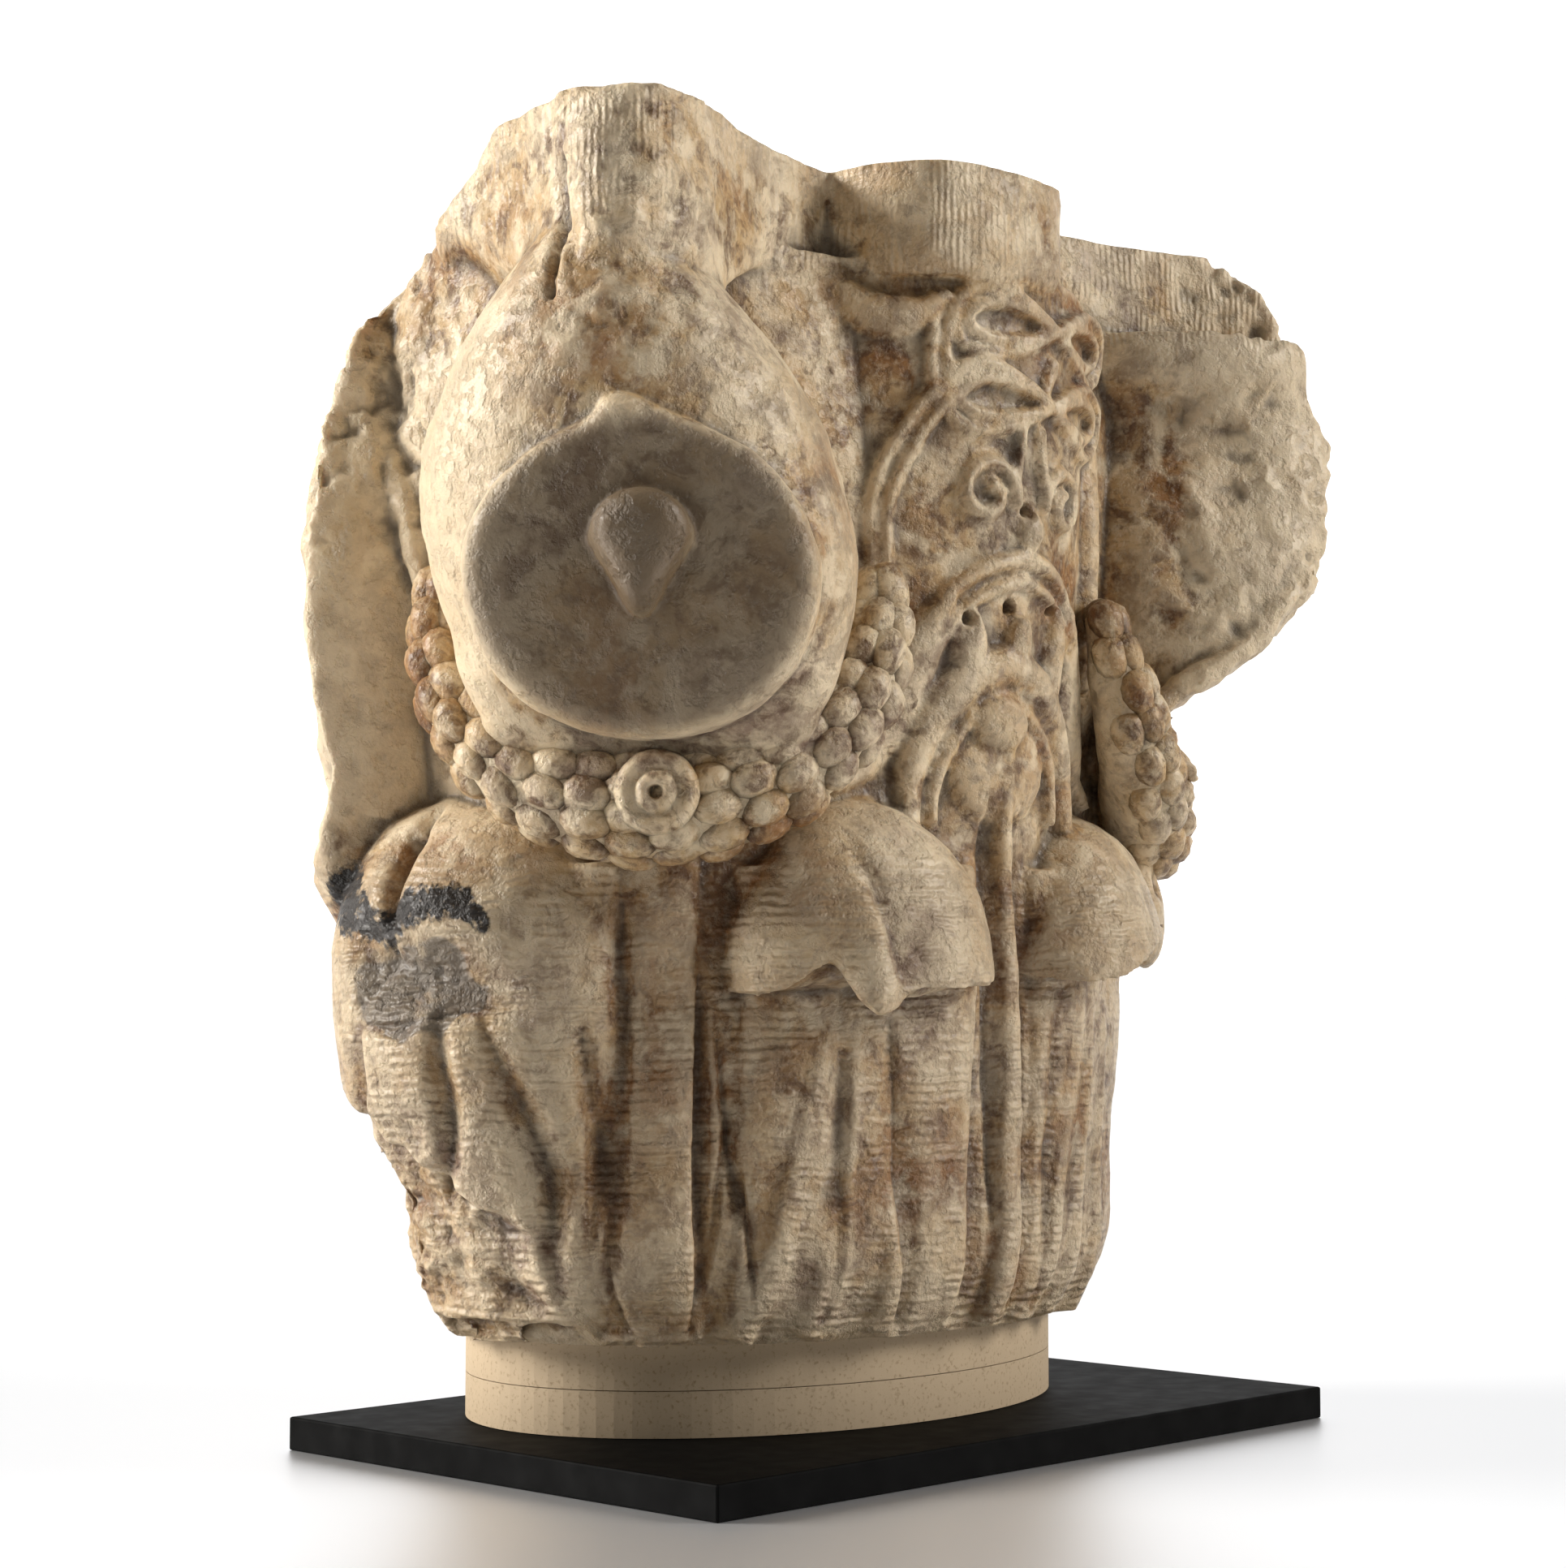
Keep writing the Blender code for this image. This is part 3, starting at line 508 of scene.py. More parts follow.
BREAKS = (
    Break(
        RIGHT_FRONT,
        heights=(
            *(100, 165, 178, 196, 206, 217, 230, 241, 252),
            *(266, 279, 294, 335, 372, 388, 400, 412, 430),
        ),
        reach=(60, 40, 47, 43, 35, 28, 28, 47, 62, 79, 92, 95, 98, 84, 79, 72, 50, 30),
    ),
    Break(
        LEFT_BACK,
        heights=(
            *(-20, 3, 16, 49, 70, 83, 105, 152, 166, 184),
            *(208, 276, 309, 345, 360, 376, 397, 413, 430),
        ),
        reach=(-24, -4, 7, 14, 30, 37, 41, 46, 44, 37, 42, 47, 43, 31, 27, 9, -8, -21, -40),
        roughness=4.0,
    ),
)


@dataclass(frozen=True)
class Abacus:
    """The slab on top: concave sides, cut corners, and a block in the middle of each long side.

    Each entry of the outline is a corner of the plan and the bow of the edge that follows it,
    outwards if positive.
    """

    foot: float = 374.0
    outline: tuple = (
        *(((-190, -95), 0), ((-173, -119), 1), ((-148, -117), -5), ((-55, -84), 0)),
        *(((-53, -103), 7), ((-24, -131), 2), ((10, -130), 3), ((31, -119), 0)),
        *(((38, -90), 0), ((72, -86), -5), ((160, -113), 2), ((184, -119), 0)),
        *(((202, -96), -12), ((202, 96), 0), ((184, 119), 0), ((160, 113), -5)),
        *(((66, 86), 0), ((62, 116), 3), ((-46, 116), 0), ((-50, 86), -3)),
        *(((-118, 80), -4), ((-138, 44), -4), ((-172, -6), -3)),
    )
    tip: tuple = (-181.0, -107.0)
    dip: float = 24.0
    above: float = 4.0

    def plan(self, step: float = 3.0) -> np.ndarray:
        """The outline as points: each edge is its chord plus bow 4 t (1 - t) outwards.

        Args:
            step: Spacing of the points.

        Returns:
            The plan's points, in order.
        """
        corners = np.array([corner for corner, _ in self.outline], float)
        bows = np.array([bow for _, bow in self.outline], float)
        ends = np.roll(corners, -1, axis=0)
        pieces = []
        for start, end, bow in zip(corners, ends, bows):
            chord = end - start
            length = np.linalg.norm(chord)
            t = np.arange(0, 1, step / length)[:, None]
            outward = np.array([chord[1], -chord[0]]) / length
            pieces.append(start + chord * t + outward * bow * 4 * t * (1 - t))
        return np.concatenate(pieces)

    def shells(self) -> list:
        """The slab as a stack of its plan: drawn in at its foot, and further down near its tip.

        Returns:
            Stacks of rings.
        """
        plan = self.plan()
        top = TOP + self.above
        dip = self.dip * soft_step(np.linalg.norm(plan - self.tip, axis=1), 95, 25)
        steps = np.linspace(self.foot + 8, top, 14)
        heights = np.concatenate([[self.foot, self.foot + 3], steps])
        shares = np.concatenate([[0.965, 0.985], np.ones(len(steps))])
        sink = (top - heights) / (top - self.foot)
        rows = zip(heights, shares, sink)
        return [np.array([np.column_stack([plan * s, w - dip * d]) for w, s, d in rows])]


@dataclass(frozen=True)
class Horn:
    """What grows out under one corner of the abacus: egg, disc and drop.

    Each level of the egg gives its height, its sideways middle, its half width and its reach.
    """

    corner: Corner
    levels: tuple = (
        *((192, 0, 6, 34), (200, 0, 42, 42), (216, -1, 58, 60), (240, -1, 67, 78)),
        *((265, -3, 72, 89), (290, -7, 71, 94), (317, -9, 63, 97), (345, -12, 46, 95)),
        *((362, -14, 32, 90), (378, -14, 16, 86)),
    )
    shoulder: tuple = ((300, 0), (330, 4), (345, 14), (362, 24), (378, 34))
    ridge: tuple = (
        *((308, -7, 5, 88), (326, -8, 11, 91), (345, -11, 14, 93)),
        *((362, -11, 18, 94), (380, -8, 21, 93), (413, -6, 23, 90)),
    )
    trail: float = 0.0
    worn: bool = False
    fill: float = 0.0
    stretch: float = 1.0
    root_reach: float = 36.0
    root_depth: float = 62.0
    disc_reach: float = 93.0
    disc_tilt: float = 0.2
    disc_height: float = 253.0
    disc_half: tuple = (58.0, 51.0)
    disc_point: tuple = (-6.0, 7.0)
    disc_rim: tuple = (
        *((-70, 0.94), (-30, 0.98), (-14, 1.0), (-8, 0.995)),
        *((-4, 0.975), (-1.5, 0.94), (-0.2, 0.88), (0, 0.4)),
    )
    drop_rim: tuple = ((-6, 1.02), (5, 1.0), (10, 0.93), (13.5, 0.78), (15.5, 0.52), (16.2, 0.2))
    keel_root: float = 60.0

    def egg(self) -> list:
        """The egg: level ovals, each out to its reach in front and sunk in the bell behind.

        Returns:
            Stacks of rings.
        """
        height, *rows = np.array(self.levels, float).T
        below = np.maximum(self.disc_height - height, 0)
        height = height - self.trail * below
        at = np.linspace(height[0], height[-1], 90)
        middle, half, reach = (smooth_profile(at, height, row)[:, None] for row in rows)
        if self.worn:
            more = self.fill * (soft_step(at, 205, 235) * soft_step(at, 372, 340))[:, None]
            half = half + np.interp(at, *np.array(self.shoulder, float).T)[:, None] + more
            middle = middle * 0.3 + more
            reach = self.root_reach + (reach - self.root_reach) * self.stretch
        turn = turns(110)[None, :]
        power = 2 / 2.2
        round_side = powered(np.cos(turn), power)
        round_out = powered(np.sin(turn), power)
        depth = np.where(round_out > 0, reach - self.root_reach, self.root_depth)
        out = self.root_reach + round_out * depth
        side = middle * self.corner.mirror + half * round_side
        return [self.corner.place(out, side, at[:, None] * np.ones_like(out))]

    def disc_outline(self, size: float) -> tuple:
        """The disc's outline: an oval with a soft point at the top.

        Args:
            size: Its size as a share of the full one.

        Returns:
            Side steps and rises.
        """
        turn = turns(140)
        from_top = (turn - np.pi / 2 + np.pi) % (2 * np.pi) - np.pi
        point = np.exp(-((from_top / 0.22) ** 2))
        half_side, half_rise = self.disc_half
        shift, lift = self.disc_point
        side = half_side * size * np.cos(turn) + shift * self.corner.mirror * point
        return side, (half_rise * np.sin(turn) + lift * point) * size

    def lean(self, rise: np.ndarray) -> np.ndarray:
        """How far the tilted disc's face stands out at a step above its middle."""
        return self.disc_reach + self.disc_tilt * rise

    def disc(self) -> list:
        """The flat disc, leaning out at its top: its outline in rings, with a rounded edge.

        Returns:
            Stacks of rings.
        """
        rings = []
        for step, size in self.disc_rim:
            side, rise = self.disc_outline(size)
            rings.append(self.corner.place(self.lean(rise) + step, side, self.disc_height + rise))
        return [np.array(rings)]

    def drop(self) -> list:
        """The heart-shaped drop: an oval drawn to a point below, blunt on its upper half.

        Returns:
            Stacks of rings.
        """
        turn = turns(60)
        low = np.clip(-np.sin(turn), 0, 1)
        rings = []
        for out, size in self.drop_rim:
            side = 17 * np.cos(turn) * (1 - 0.38 * low) * size + 1
            rise = (16 * np.sin(turn) - 8 * low**3) * size + 11 + 4 * (1 - size)
            rings.append(self.corner.place(self.lean(rise) + out, side, self.disc_height + rise))
        return [np.array(rings)]

    def keel(self) -> list:
        """The broken ridge from the abacus's cut corner down to the disc's point: level ovals.

        Returns:
            Stacks of rings.
        """
        height, *rows = np.array(self.ridge, float).T
        at = np.linspace(height[0], height[-1], 70)
        middle, half, reach = (smooth_profile(at, height, row)[:, None] for row in rows)
        turn = turns(60)[None, :]
        out = self.keel_root + (reach - self.keel_root) * powered(np.sin(turn), 0.8)
        side = middle * self.corner.mirror + half * powered(np.cos(turn), 0.8)
        return [self.corner.place(out, side, at[:, None] * np.ones_like(out))]


@dataclass(frozen=True)
class Festoon:
    """A hanging roll of berries round a disc, thick at its low point."""

    corner: Corner
    half_width: float = 76.0
    drop: float = 69.0
    height: float = 253.0
    sweep: float = 1.72
    berry: float = 12.4
    radii: tuple = (8.8, 7.0, 6.8)
    tilt: float = 0.3
    sunk: float = 4.6
    rosette_profile: tuple = (
        *((0.3, -8), (2.1, -8), (2.3, 4.4), (3.2, 5.6), (5.2, 5.4), (6.6, 4.0)),
        *((7.6, 2.4), (8.8, 2.6), (10.6, 4.0), (12.6, 3.4), (14.2, 1.2), (14.8, -5)),
    )

    @property
    def back(self) -> float:
        """How far its ends stand back; the worn right corner's whole roll stands back more."""
        return 8.5 if self.corner is RIGHT_FRONT else 3.0

    def path(self, angle: np.ndarray) -> np.ndarray:
        """The middle line: side = a sin t, height = h - b cos t, a little back at its ends.

        Args:
            angle: Where along it: 0 at its low point.

        Returns:
            The points.
        """
        out = 30 * np.cos(angle * 0.7) ** 2 - self.back
        height = self.height - self.drop * np.cos(angle)
        return self.corner.place(out, self.half_width * np.sin(angle), height)

    def girth(self, angle: np.ndarray) -> np.ndarray:
        """Half thickness: most at the low point, least at the two ends."""
        return 7.0 + 13.5 * np.cos(angle * 0.86)

    def roll(self) -> list:
        """The roll that the berries cover.

        Returns:
            Stacks of rings.
        """
        angle = np.linspace(-self.sweep, self.sweep, 90)
        girth = self.girth(angle) - 2.0
        return [bar(self.path(angle), self.corner.out, girth, girth, 30)]

    def berries(self) -> tuple:
        """The berries, in rows across the roll, every other row shifted by half a berry.

        Returns:
            The berries' middles, their three axes and their radii, one of each to a berry.
        """
        chance = np.random.default_rng(5 + self.corner.sign_u)
        fine = np.linspace(-self.sweep + 0.06, self.sweep - 0.06, 400)
        run = run_along(self.path(fine))
        rows = int(run[-1] / (self.berry * 0.98))
        angle = np.interp(np.linspace(0, run[-1], rows), run, fine)
        count = np.maximum(3, np.round(np.pi * self.girth(angle) / self.berry)).astype(int)
        count = count + np.arange(rows) % 2
        step = [(np.arange(n) - (n - 1) / 2) * self.berry for n in count]
        angle = np.repeat(angle, count)
        angle = angle + chance.normal(0, 0.008, len(angle))
        girth = self.girth(angle)
        lean = (np.concatenate(step) / girth + chance.normal(0, 0.04, len(angle)))[:, None]
        path = self.path(angle)
        along = unit(self.path(angle + 0.02) - path) * np.where(angle > 0, -1, 1)[:, None]
        across = unit(np.cross(self.corner.out, along))
        outward = np.cross(along, across)
        normal = outward * np.cos(lean) + across * np.sin(lean)
        beside = np.cross(normal, along)
        ahead = along * np.cos(self.tilt) + normal * np.sin(self.tilt)
        axes = np.stack([ahead, beside, np.cross(ahead, beside)], axis=1)
        radii = np.array(self.radii) * chance.uniform(0.94, 1.06, (len(angle), 1))
        return path + normal * (girth - self.sunk)[:, None], axes, radii

    def rosette_axis(self) -> np.ndarray:
        """Where the rosette stands on the roll's low point."""
        low = np.array([0.03])
        return self.path(low)[0] + self.corner.out * (self.girth(low)[0] - 1.0) + UP * 3

    def rosette(self) -> list:
        """A bored boss in a ring, turned about the corner's axis: radius and swell by steps.

        Returns:
            Stacks of rings.
        """
        turn = turns(48)[:, None]
        circle = np.cos(turn) * self.corner.side + np.sin(turn) * UP
        middle, ahead = self.rosette_axis(), self.corner.out
        return [np.array([middle + circle * r + ahead * out for r, out in self.rosette_profile])]


class Head(Enum):
    """How a leaf's head stands: height above its foot, share of its width, share of its reach."""

    HOOD = (
        *((-30, 0.96, 0.86), (0, 1.0, 0.98), (16, 1.0, 1.0), (34, 0.92, 0.93)),
        *((50, 0.74, 0.76), (62, 0.48, 0.5), (69, 0.2, 0.2), (71, 0.04, 0.04)),
    )
    WORN = (
        *((-110, 0.98, 0.26), (-70, 1.0, 0.46), (-30, 1.0, 0.78), (0, 1.0, 0.92)),
        *((20, 0.98, 0.95), (40, 0.88, 0.84), (54, 0.70, 0.64), (64, 0.46, 0.40)),
        (71, 0.05, 0.06),
    )


@dataclass(frozen=True)
class Leaf:
    """A water leaf: a ribbed blade on the bell whose head rolls out and over.

    The head is a stack of level half ovals. Its underside follows a line of heights by step
    across, and rises towards the wall.
    """

    wall: Wall
    middle: float
    half_width: float = 46.0
    foot: float = 117.0
    reach: float = 30.0
    blade_top: float = 165.0
    rib_top: float = 160.0
    head_form: Head = Head.HOOD
    under_steps: tuple = (-1.0, -0.5, 0.05, 0.35, 1.0)
    under_heights: tuple = (118, 126, 138, 143, 150)
    ridge: tuple = ()
    boss: tuple = ()

    def blade(self) -> list:
        """The blade: overlapping flat bars side by side, and ribs that spread downwards.

        Returns:
            Stacks of rings.
        """
        heights = np.linspace(2, self.blade_top, 70)
        found = []
        thick = 1.0 + 8.0 * heights / self.blade_top
        for side in (-0.5, 0, 0.5):
            path, normal = self.wall.place(self.middle + side * self.half_width, heights)
            found.append(bar(path, normal, self.half_width * 0.46, thick, 30))
        for side in (-0.74, -0.28, 0.26):
            run = self.middle + self.half_width * side * (1.05 - 0.8 * heights / self.rib_top)
            path, normal = self.wall.place(run, heights, out=thick / 2)
            found.append(bar(path, normal, 7.5 - 4.0 * heights / self.rib_top, 3.6))
        return found

    def head(self) -> list:
        """The head: level rings w cos t across and r sin t outwards, cut below along its line.

        Returns:
            Stacks of rings.
        """
        rise, widths, reaches = np.array(self.head_form.value, float).T
        heights = np.linspace(rise[0], rise[-1], 90)
        half = self.half_width * smooth_profile(heights, rise, widths)[:, None]
        reach = self.reach * smooth_profile(heights, rise, reaches)[:, None]
        heights = heights[:, None] + self.foot
        turn = turns(90)[None, :]
        step = half * powered(np.cos(turn), 0.85)
        front = np.abs(np.sin(turn))
        out = np.where(np.sin(turn) > 0, reach * front**0.85, -20 * front)
        across = step / self.half_width
        for at, spread, lift in self.ridge:
            lift = lift * soft_step(heights - self.foot, 60, 12)
            out = out * (1 + lift * np.exp(-(((across - at) / spread) ** 2)) * (out > 0))
        level = unit(self.wall.place(self.middle, self.foot)[1] * (1, 1, 0))
        head = self.wall.place(self.middle + step, heights * np.ones_like(step))[0]
        head = head + out[..., None] * level
        if self.head_form is Head.HOOD:
            under = np.interp(across, self.under_steps, self.under_heights)
            under = under + 9 * (1 - np.clip(out / self.reach, 0, 1))
            head[..., 2] = np.maximum(head[..., 2], under)
        return [head] + [self.wall.knob(*boss) for boss in self.boss]

    def shells(self) -> list:
        """Blade and head."""
        return self.blade() + self.head()


@dataclass(frozen=True)
class FrontCarving:
    """The long face's own carving: knot, scrolls, arch, blades, drops, palmette and midrib."""

    wall: Wall
    axis: float = 9.0

    def mirrored(self, side: int, places: tuple) -> list:
        """Places given by their step from the face's axis, on its left (-1) or right (1)."""
        return [(self.axis + side * run, height) for run, height in places]

    def figure_eight(self, middle: tuple, half: tuple, inset: float, width: float) -> np.ndarray:
        """A strand u = a sin t, w = b sin 2t that weaves over and under itself.

        Args:
            middle: Run and height of its crossing.
            half: Half length and half height.
            inset: How far it stays inside them.
            width: Half width of the strand.

        Returns:
            The rings.
        """
        turn = np.linspace(0.0, 2 * np.pi, 121) + 0.25 * np.pi
        run = middle[0] + (half[0] - inset) * np.sin(turn)
        height = middle[1] + (half[1] - inset) * np.sin(2 * turn)
        lift = 6.0 * soft_step(run, 52, 76)
        path, normal = self.wall.place(run, height, out=0.6 + lift + 1.4 * np.sin(2 * turn + 0.4))
        return bar(path, normal, width, 3.6, 12)

    def knot(self) -> list:
        """Two rows of paired loops in double strands, and the links between them.

        Returns:
            Stacks of rings.
        """
        found = []
        for middle in ((22, 361), (19, 333)):
            for inset, width in ((0.0, 2.6), (5.6, 2.2)):
                found.append(self.figure_eight(middle, (48, 12.0), inset, width))
        for shift in (-2.6, 2.6):
            stalk = ((-48, 268), (-47, 299), (-40, 317), (-30, 332), (-14, 342), (4, 340))
            points = [(run + shift * 0.9, height - shift * 0.6) for run, height in stalk]
            found.append(self.wall.strand(points, 2.6, 4.2, 80))
            link = ((-30 + shift, 330), (-31 + shift, 348), (-29 + shift, 364))
            found.append(self.wall.strand(link, 2.2, 3.6, 30))
        half_leaf = ((-66, 380), (-60, 368), (-50, 360), (-38, 361), (-28, 369))
        found.append(self.wall.strand(half_leaf, (2, 6, 8, 6, 1.5), 5.0, 50))
        link = ((22, 351), (19, 344), (16, 338))
        found.append(self.wall.strand(link, 3.0, 3.6, 20))
        return found

    def scrolls(self) -> list:
        """Two volutes that curl towards each other, their stem, and the drop between.

        Returns:
            Stacks of rings.
        """
        found = []
        turn = np.linspace(0.0, 2.6 * np.pi, 90)
        radius = 13.5 - 1.28 * turn
        for side in (-1, 1):
            run = self.axis + 1 + side * (21 - radius * np.cos(turn - 0.3))
            height = 299 + radius * np.sin(turn - 0.3)
            path, normal = self.wall.place(run, height)
            found.append(bar(path, normal, 2.8, 4.2, 12))
            stem = self.mirrored(side, ((5, 325), (6, 312), (9, 300)))
            found.append(self.wall.strand(stem, 2.6, 3.8, 24))
        found.append(self.wall.knob(self.axis + 1, 287, (6, 8, 5)))
        return found

    def arch(self) -> list:
        """The double band of the arch, and the long blades that fall from its shoulders.

        Returns:
            Stacks of rings.
        """
        found = []
        for side in (-1, 1):
            for inset, width in ((0, 3.4), (8, 2.6)):
                outer = ((0, 277), (17, 273), (32, 263), (43, 248))
                shares = ((0, 1), (0.3, 1), (0.6, 0.8), (1, 0.5))
                band = np.array(outer, float) - inset * np.array(shares)
                found.append(self.wall.strand(self.mirrored(side, band), width, 4.0, 50))
            blade = self.mirrored(side, ((32, 262), (41, 245), (48, 226), (59, 205), (74, 190)))
            found.append(self.wall.strand(blade, (3, 9, 11, 9, 1.2), 5.5, 70))
        return found

    def drops(self) -> list:
        """Three hanging drops under the arch, each a bar that swells and ends in a point.

        Returns:
            Stacks of rings.
        """
        found = []
        for run in (-14, 9, 33):
            drop = ((run, 256), (run + 0.5, 246), (run + 1, 237), (run + 1, 230))
            found.append(self.wall.strand(drop, (3.5, 7.5, 7.0, 1.2), 6.0, 30, out=-0.5))
        return found

    def palmette(self) -> list:
        """The palmette under the arch: a domed field in a double rim, and its midrib.

        Returns:
            Stacks of rings.
        """
        rim = ((-36, 180), (-32, 204), (-20, 226), (4, 238), (28, 228), (44, 206), (50, 182))
        inner = ((-26, 180), (-22, 202), (-12, 218), (5, 227), (21, 219), (34, 203), (39, 182))
        midrib = ((6, 222), (7, 190), (8, 150), (9, 90), (9, 4))
        return [
            self.wall.strand(rim, (5, 7, 8, 8, 8, 7, 5), 6.5, 90),
            self.wall.strand(inner, 3.4, 5.0, 80),
            self.wall.knob(2, 217, (13, 10, 7), out=3.0),
            self.wall.knob(6, 200, (24, 20, 6), out=-1.0),
            self.wall.strand(midrib, (4, 5, 6, 7, 7), 6.0, 120),
        ]

    def shells(self, plain: bool = False) -> list:
        """All of the face's carving, or only its main lines on a hidden side.

        Args:
            plain: Whether the side is a hidden one.

        Returns:
            Stacks of rings.
        """
        found = self.arch() + self.palmette()
        if plain:
            return found
        edge = ((74, 236), (72, 262), (69, 300), (76, 325), (84, 348), (85, 374))
        found.append(self.wall.strand(edge, (6, 9, 8, 12, 16, 17), 8.0, 80))
        return found + self.knot() + self.scrolls() + self.drops()


@dataclass(frozen=True)
class SideCarving:
    """A short face's carving: a tall palmette beside a worn stalk."""

    wall: Wall

    def shells(self) -> list:
        """The palmette's rim, its midrib and the stalk.

        Returns:
            Stacks of rings.
        """
        rim = ((36, 186), (32, 215), (26, 248), (29, 277), (42, 294), (60, 300))
        midrib = ((50, 196), (46, 236), (52, 272))
        stalk = ((4, 250), (8, 270), (18, 300), (33, 329), (36, 350))
        return [
            self.wall.strand(rim, (4, 7, 7, 6, 5, 4), 6.5, 90),
            self.wall.strand(midrib, 4.0, 5.0, 50),
            self.wall.strand(stalk, (3, 6, 7, 6, 4), 6.0, 50),
        ]


@dataclass
class Groove:
    """A cut line: a path in the stone's frame, its wall's outward way, depth and half width."""

    path: np.ndarray
    facing: np.ndarray
    depth: float
    half_width: float
    slack: float = 0.12

    def cut(self, points: np.ndarray) -> np.ndarray:
        """How deep the line cuts at each point: d exp(-(r / w)^2), r the distance to the path.

        Depth d and half width w taper to both ends of the path.

        Distance along the wall's outward direction counts only by its slack, so that a line
        cuts a surface that stands a little off it.

        Args:
            points: The skin's points.

        Returns:
            The depth of the cut at each point.
        """
        found = np.zeros(len(points))
        reach = 3 * self.half_width * (1 + np.abs(self.facing) * (1 / self.slack - 1))
        low, high = self.path.min(axis=0) - reach, self.path.max(axis=0) + reach
        near = np.flatnonzero(np.all((points > low) & (points < high), axis=1))
        if len(near) == 0:
            return found
        squeeze = np.eye(3) - (1 - self.slack) * np.outer(self.facing, self.facing)
        path, skin = self.path @ squeeze, points[near] @ squeeze
        start, step = path[:-1], np.diff(path, axis=0)
        length = np.maximum(np.einsum("ij,ij->i", step, step), 1e-9)
        taper = 0.25 + 0.75 * np.sin(np.pi * (np.arange(len(step)) + 0.5) / len(step)) ** 0.6
        for origin, ahead, square, share in zip(start, step, length, taper):
            away = skin - origin
            t = np.clip(away @ ahead / square, 0, 1)
            apart = np.linalg.norm(away - t[:, None] * ahead, axis=1) / (self.half_width * share)
            found[near] = np.maximum(found[near], self.depth * share * np.exp(-(apart**2)))
        return found


@dataclass
class Skin:
    """A closed skin of four-sided faces and the moves that weather it."""

    points: np.ndarray
    quads: np.ndarray

    def edges(self) -> tuple:
        """Both ends of each face's edges, in both directions.

        Returns:
            The starts and the ends.
        """
        start = self.quads.ravel()
        end = np.roll(self.quads, -1, axis=1).ravel()
        return np.concatenate([start, end]), np.concatenate([end, start])

    def smoothed(self, rounds: int, share: float = 0.5) -> np.ndarray:
        """Points moved towards the mean of their neighbours a number of times.

        Args:
            rounds: How many times.
            share: How far each time, as a share of the way.

        Returns:
            The moved points.
        """
        start, end = self.edges()
        count = np.maximum(np.bincount(start, minlength=len(self.points)), 1)[:, None]
        points = self.points.copy()
        for _ in range(rounds):
            points += share * (self.summed(start, points[end]) / count - points)
        return points

    def summed(self, at: np.ndarray, vectors: np.ndarray) -> np.ndarray:
        """Sum vectors at the points that they belong to."""
        total = [np.bincount(at, column, len(self.points)) for column in vectors.T]
        return np.stack(total, axis=1)

    def normals(self) -> np.ndarray:
        """Outward directions: each face's diagonal cross product, summed at its corners.

        Returns:
            A direction for each point.
        """
        corners = self.points[self.quads]
        faces = np.cross(corners[:, 2] - corners[:, 0], corners[:, 3] - corners[:, 1])
        found = self.summed(self.quads.ravel(), np.repeat(faces, 4, axis=0))
        return found / np.maximum(np.linalg.norm(found, axis=1, keepdims=True), 1e-12)


# Cut lines: wall, depth, half width, how far off the wall the path runs, and its places by
# run and height.
LINES = (
    (Side.FRONT, 3.4, 1.5, 4.0, (-105, 113), (-99, 60), (-93, 19)),
    (Side.FRONT, 4.0, 2.4, 4.0, (-109, 126), (-108, 60), (-106, 8)),
    (Side.FRONT, 2.2, 1.4, 4.0, (-99, 86), (-103, 50), (-106, 20)),
    (Side.FRONT, 2.8, 4.0, 4.0, (-69, 100), (-68, 50), (-67, 8)),
    (Side.FRONT, 4.6, 5.0, 4.0, (-51, 110), (-44, 55), (-34, 4)),
    (Side.FRONT, 3.4, 4.4, 4.0, (-8, 122), (-8, 70), (-8, 8)),
    (Side.FRONT, 2.6, 2.0, 4.0, (-1, 190), (-2, 150), (-2, 113), (1, 40)),
    (Side.FRONT, 2.4, 2.0, 4.0, (16, 190), (18, 150), (18, 100), (19, 10)),
    (Side.FRONT, 2.4, 3.6, 4.0, (34, 120), (33, 60), (32, 8)),
    (Side.FRONT, 2.4, 4.0, 26.0, (-66, 172), (-65, 150), (-62, 124)),
    (Side.FRONT, 5.0, 4.0, 24.0, (104, 162), (100, 158)),
    (Side.LEFT, 3.6, 2.4, 4.0, (-58, 150), (-60, 113), (-57, 60), (-54, 8)),
    (Side.LEFT, 8.5, 5.0, 26.0, (5, 190), (4, 168), (1, 142)),
    (Side.LEFT, 11.0, 15.0, 26.0, (14, 134), (-8, 126), (-30, 118)),
    (Side.LEFT, 1.6, 1.2, 28.0, (26, 112), (8, 108), (-20, 113), (-34, 116)),
    (Side.LEFT, 5.0, 4.4, 22.0, (-16, 114), (-12, 66), (-4, 48)),
    (Side.LEFT, 4.6, 4.4, 20.0, (-28, 110), (-36, 68), (-35, 20)),
    (Side.LEFT, 5.0, 2.6, 16.0, (-48, 108), (-49, 72), (-45, 32)),
    (Side.LEFT, 3.6, 4.0, 22.0, (12, 110), (18, 84), (26, 58)),
)


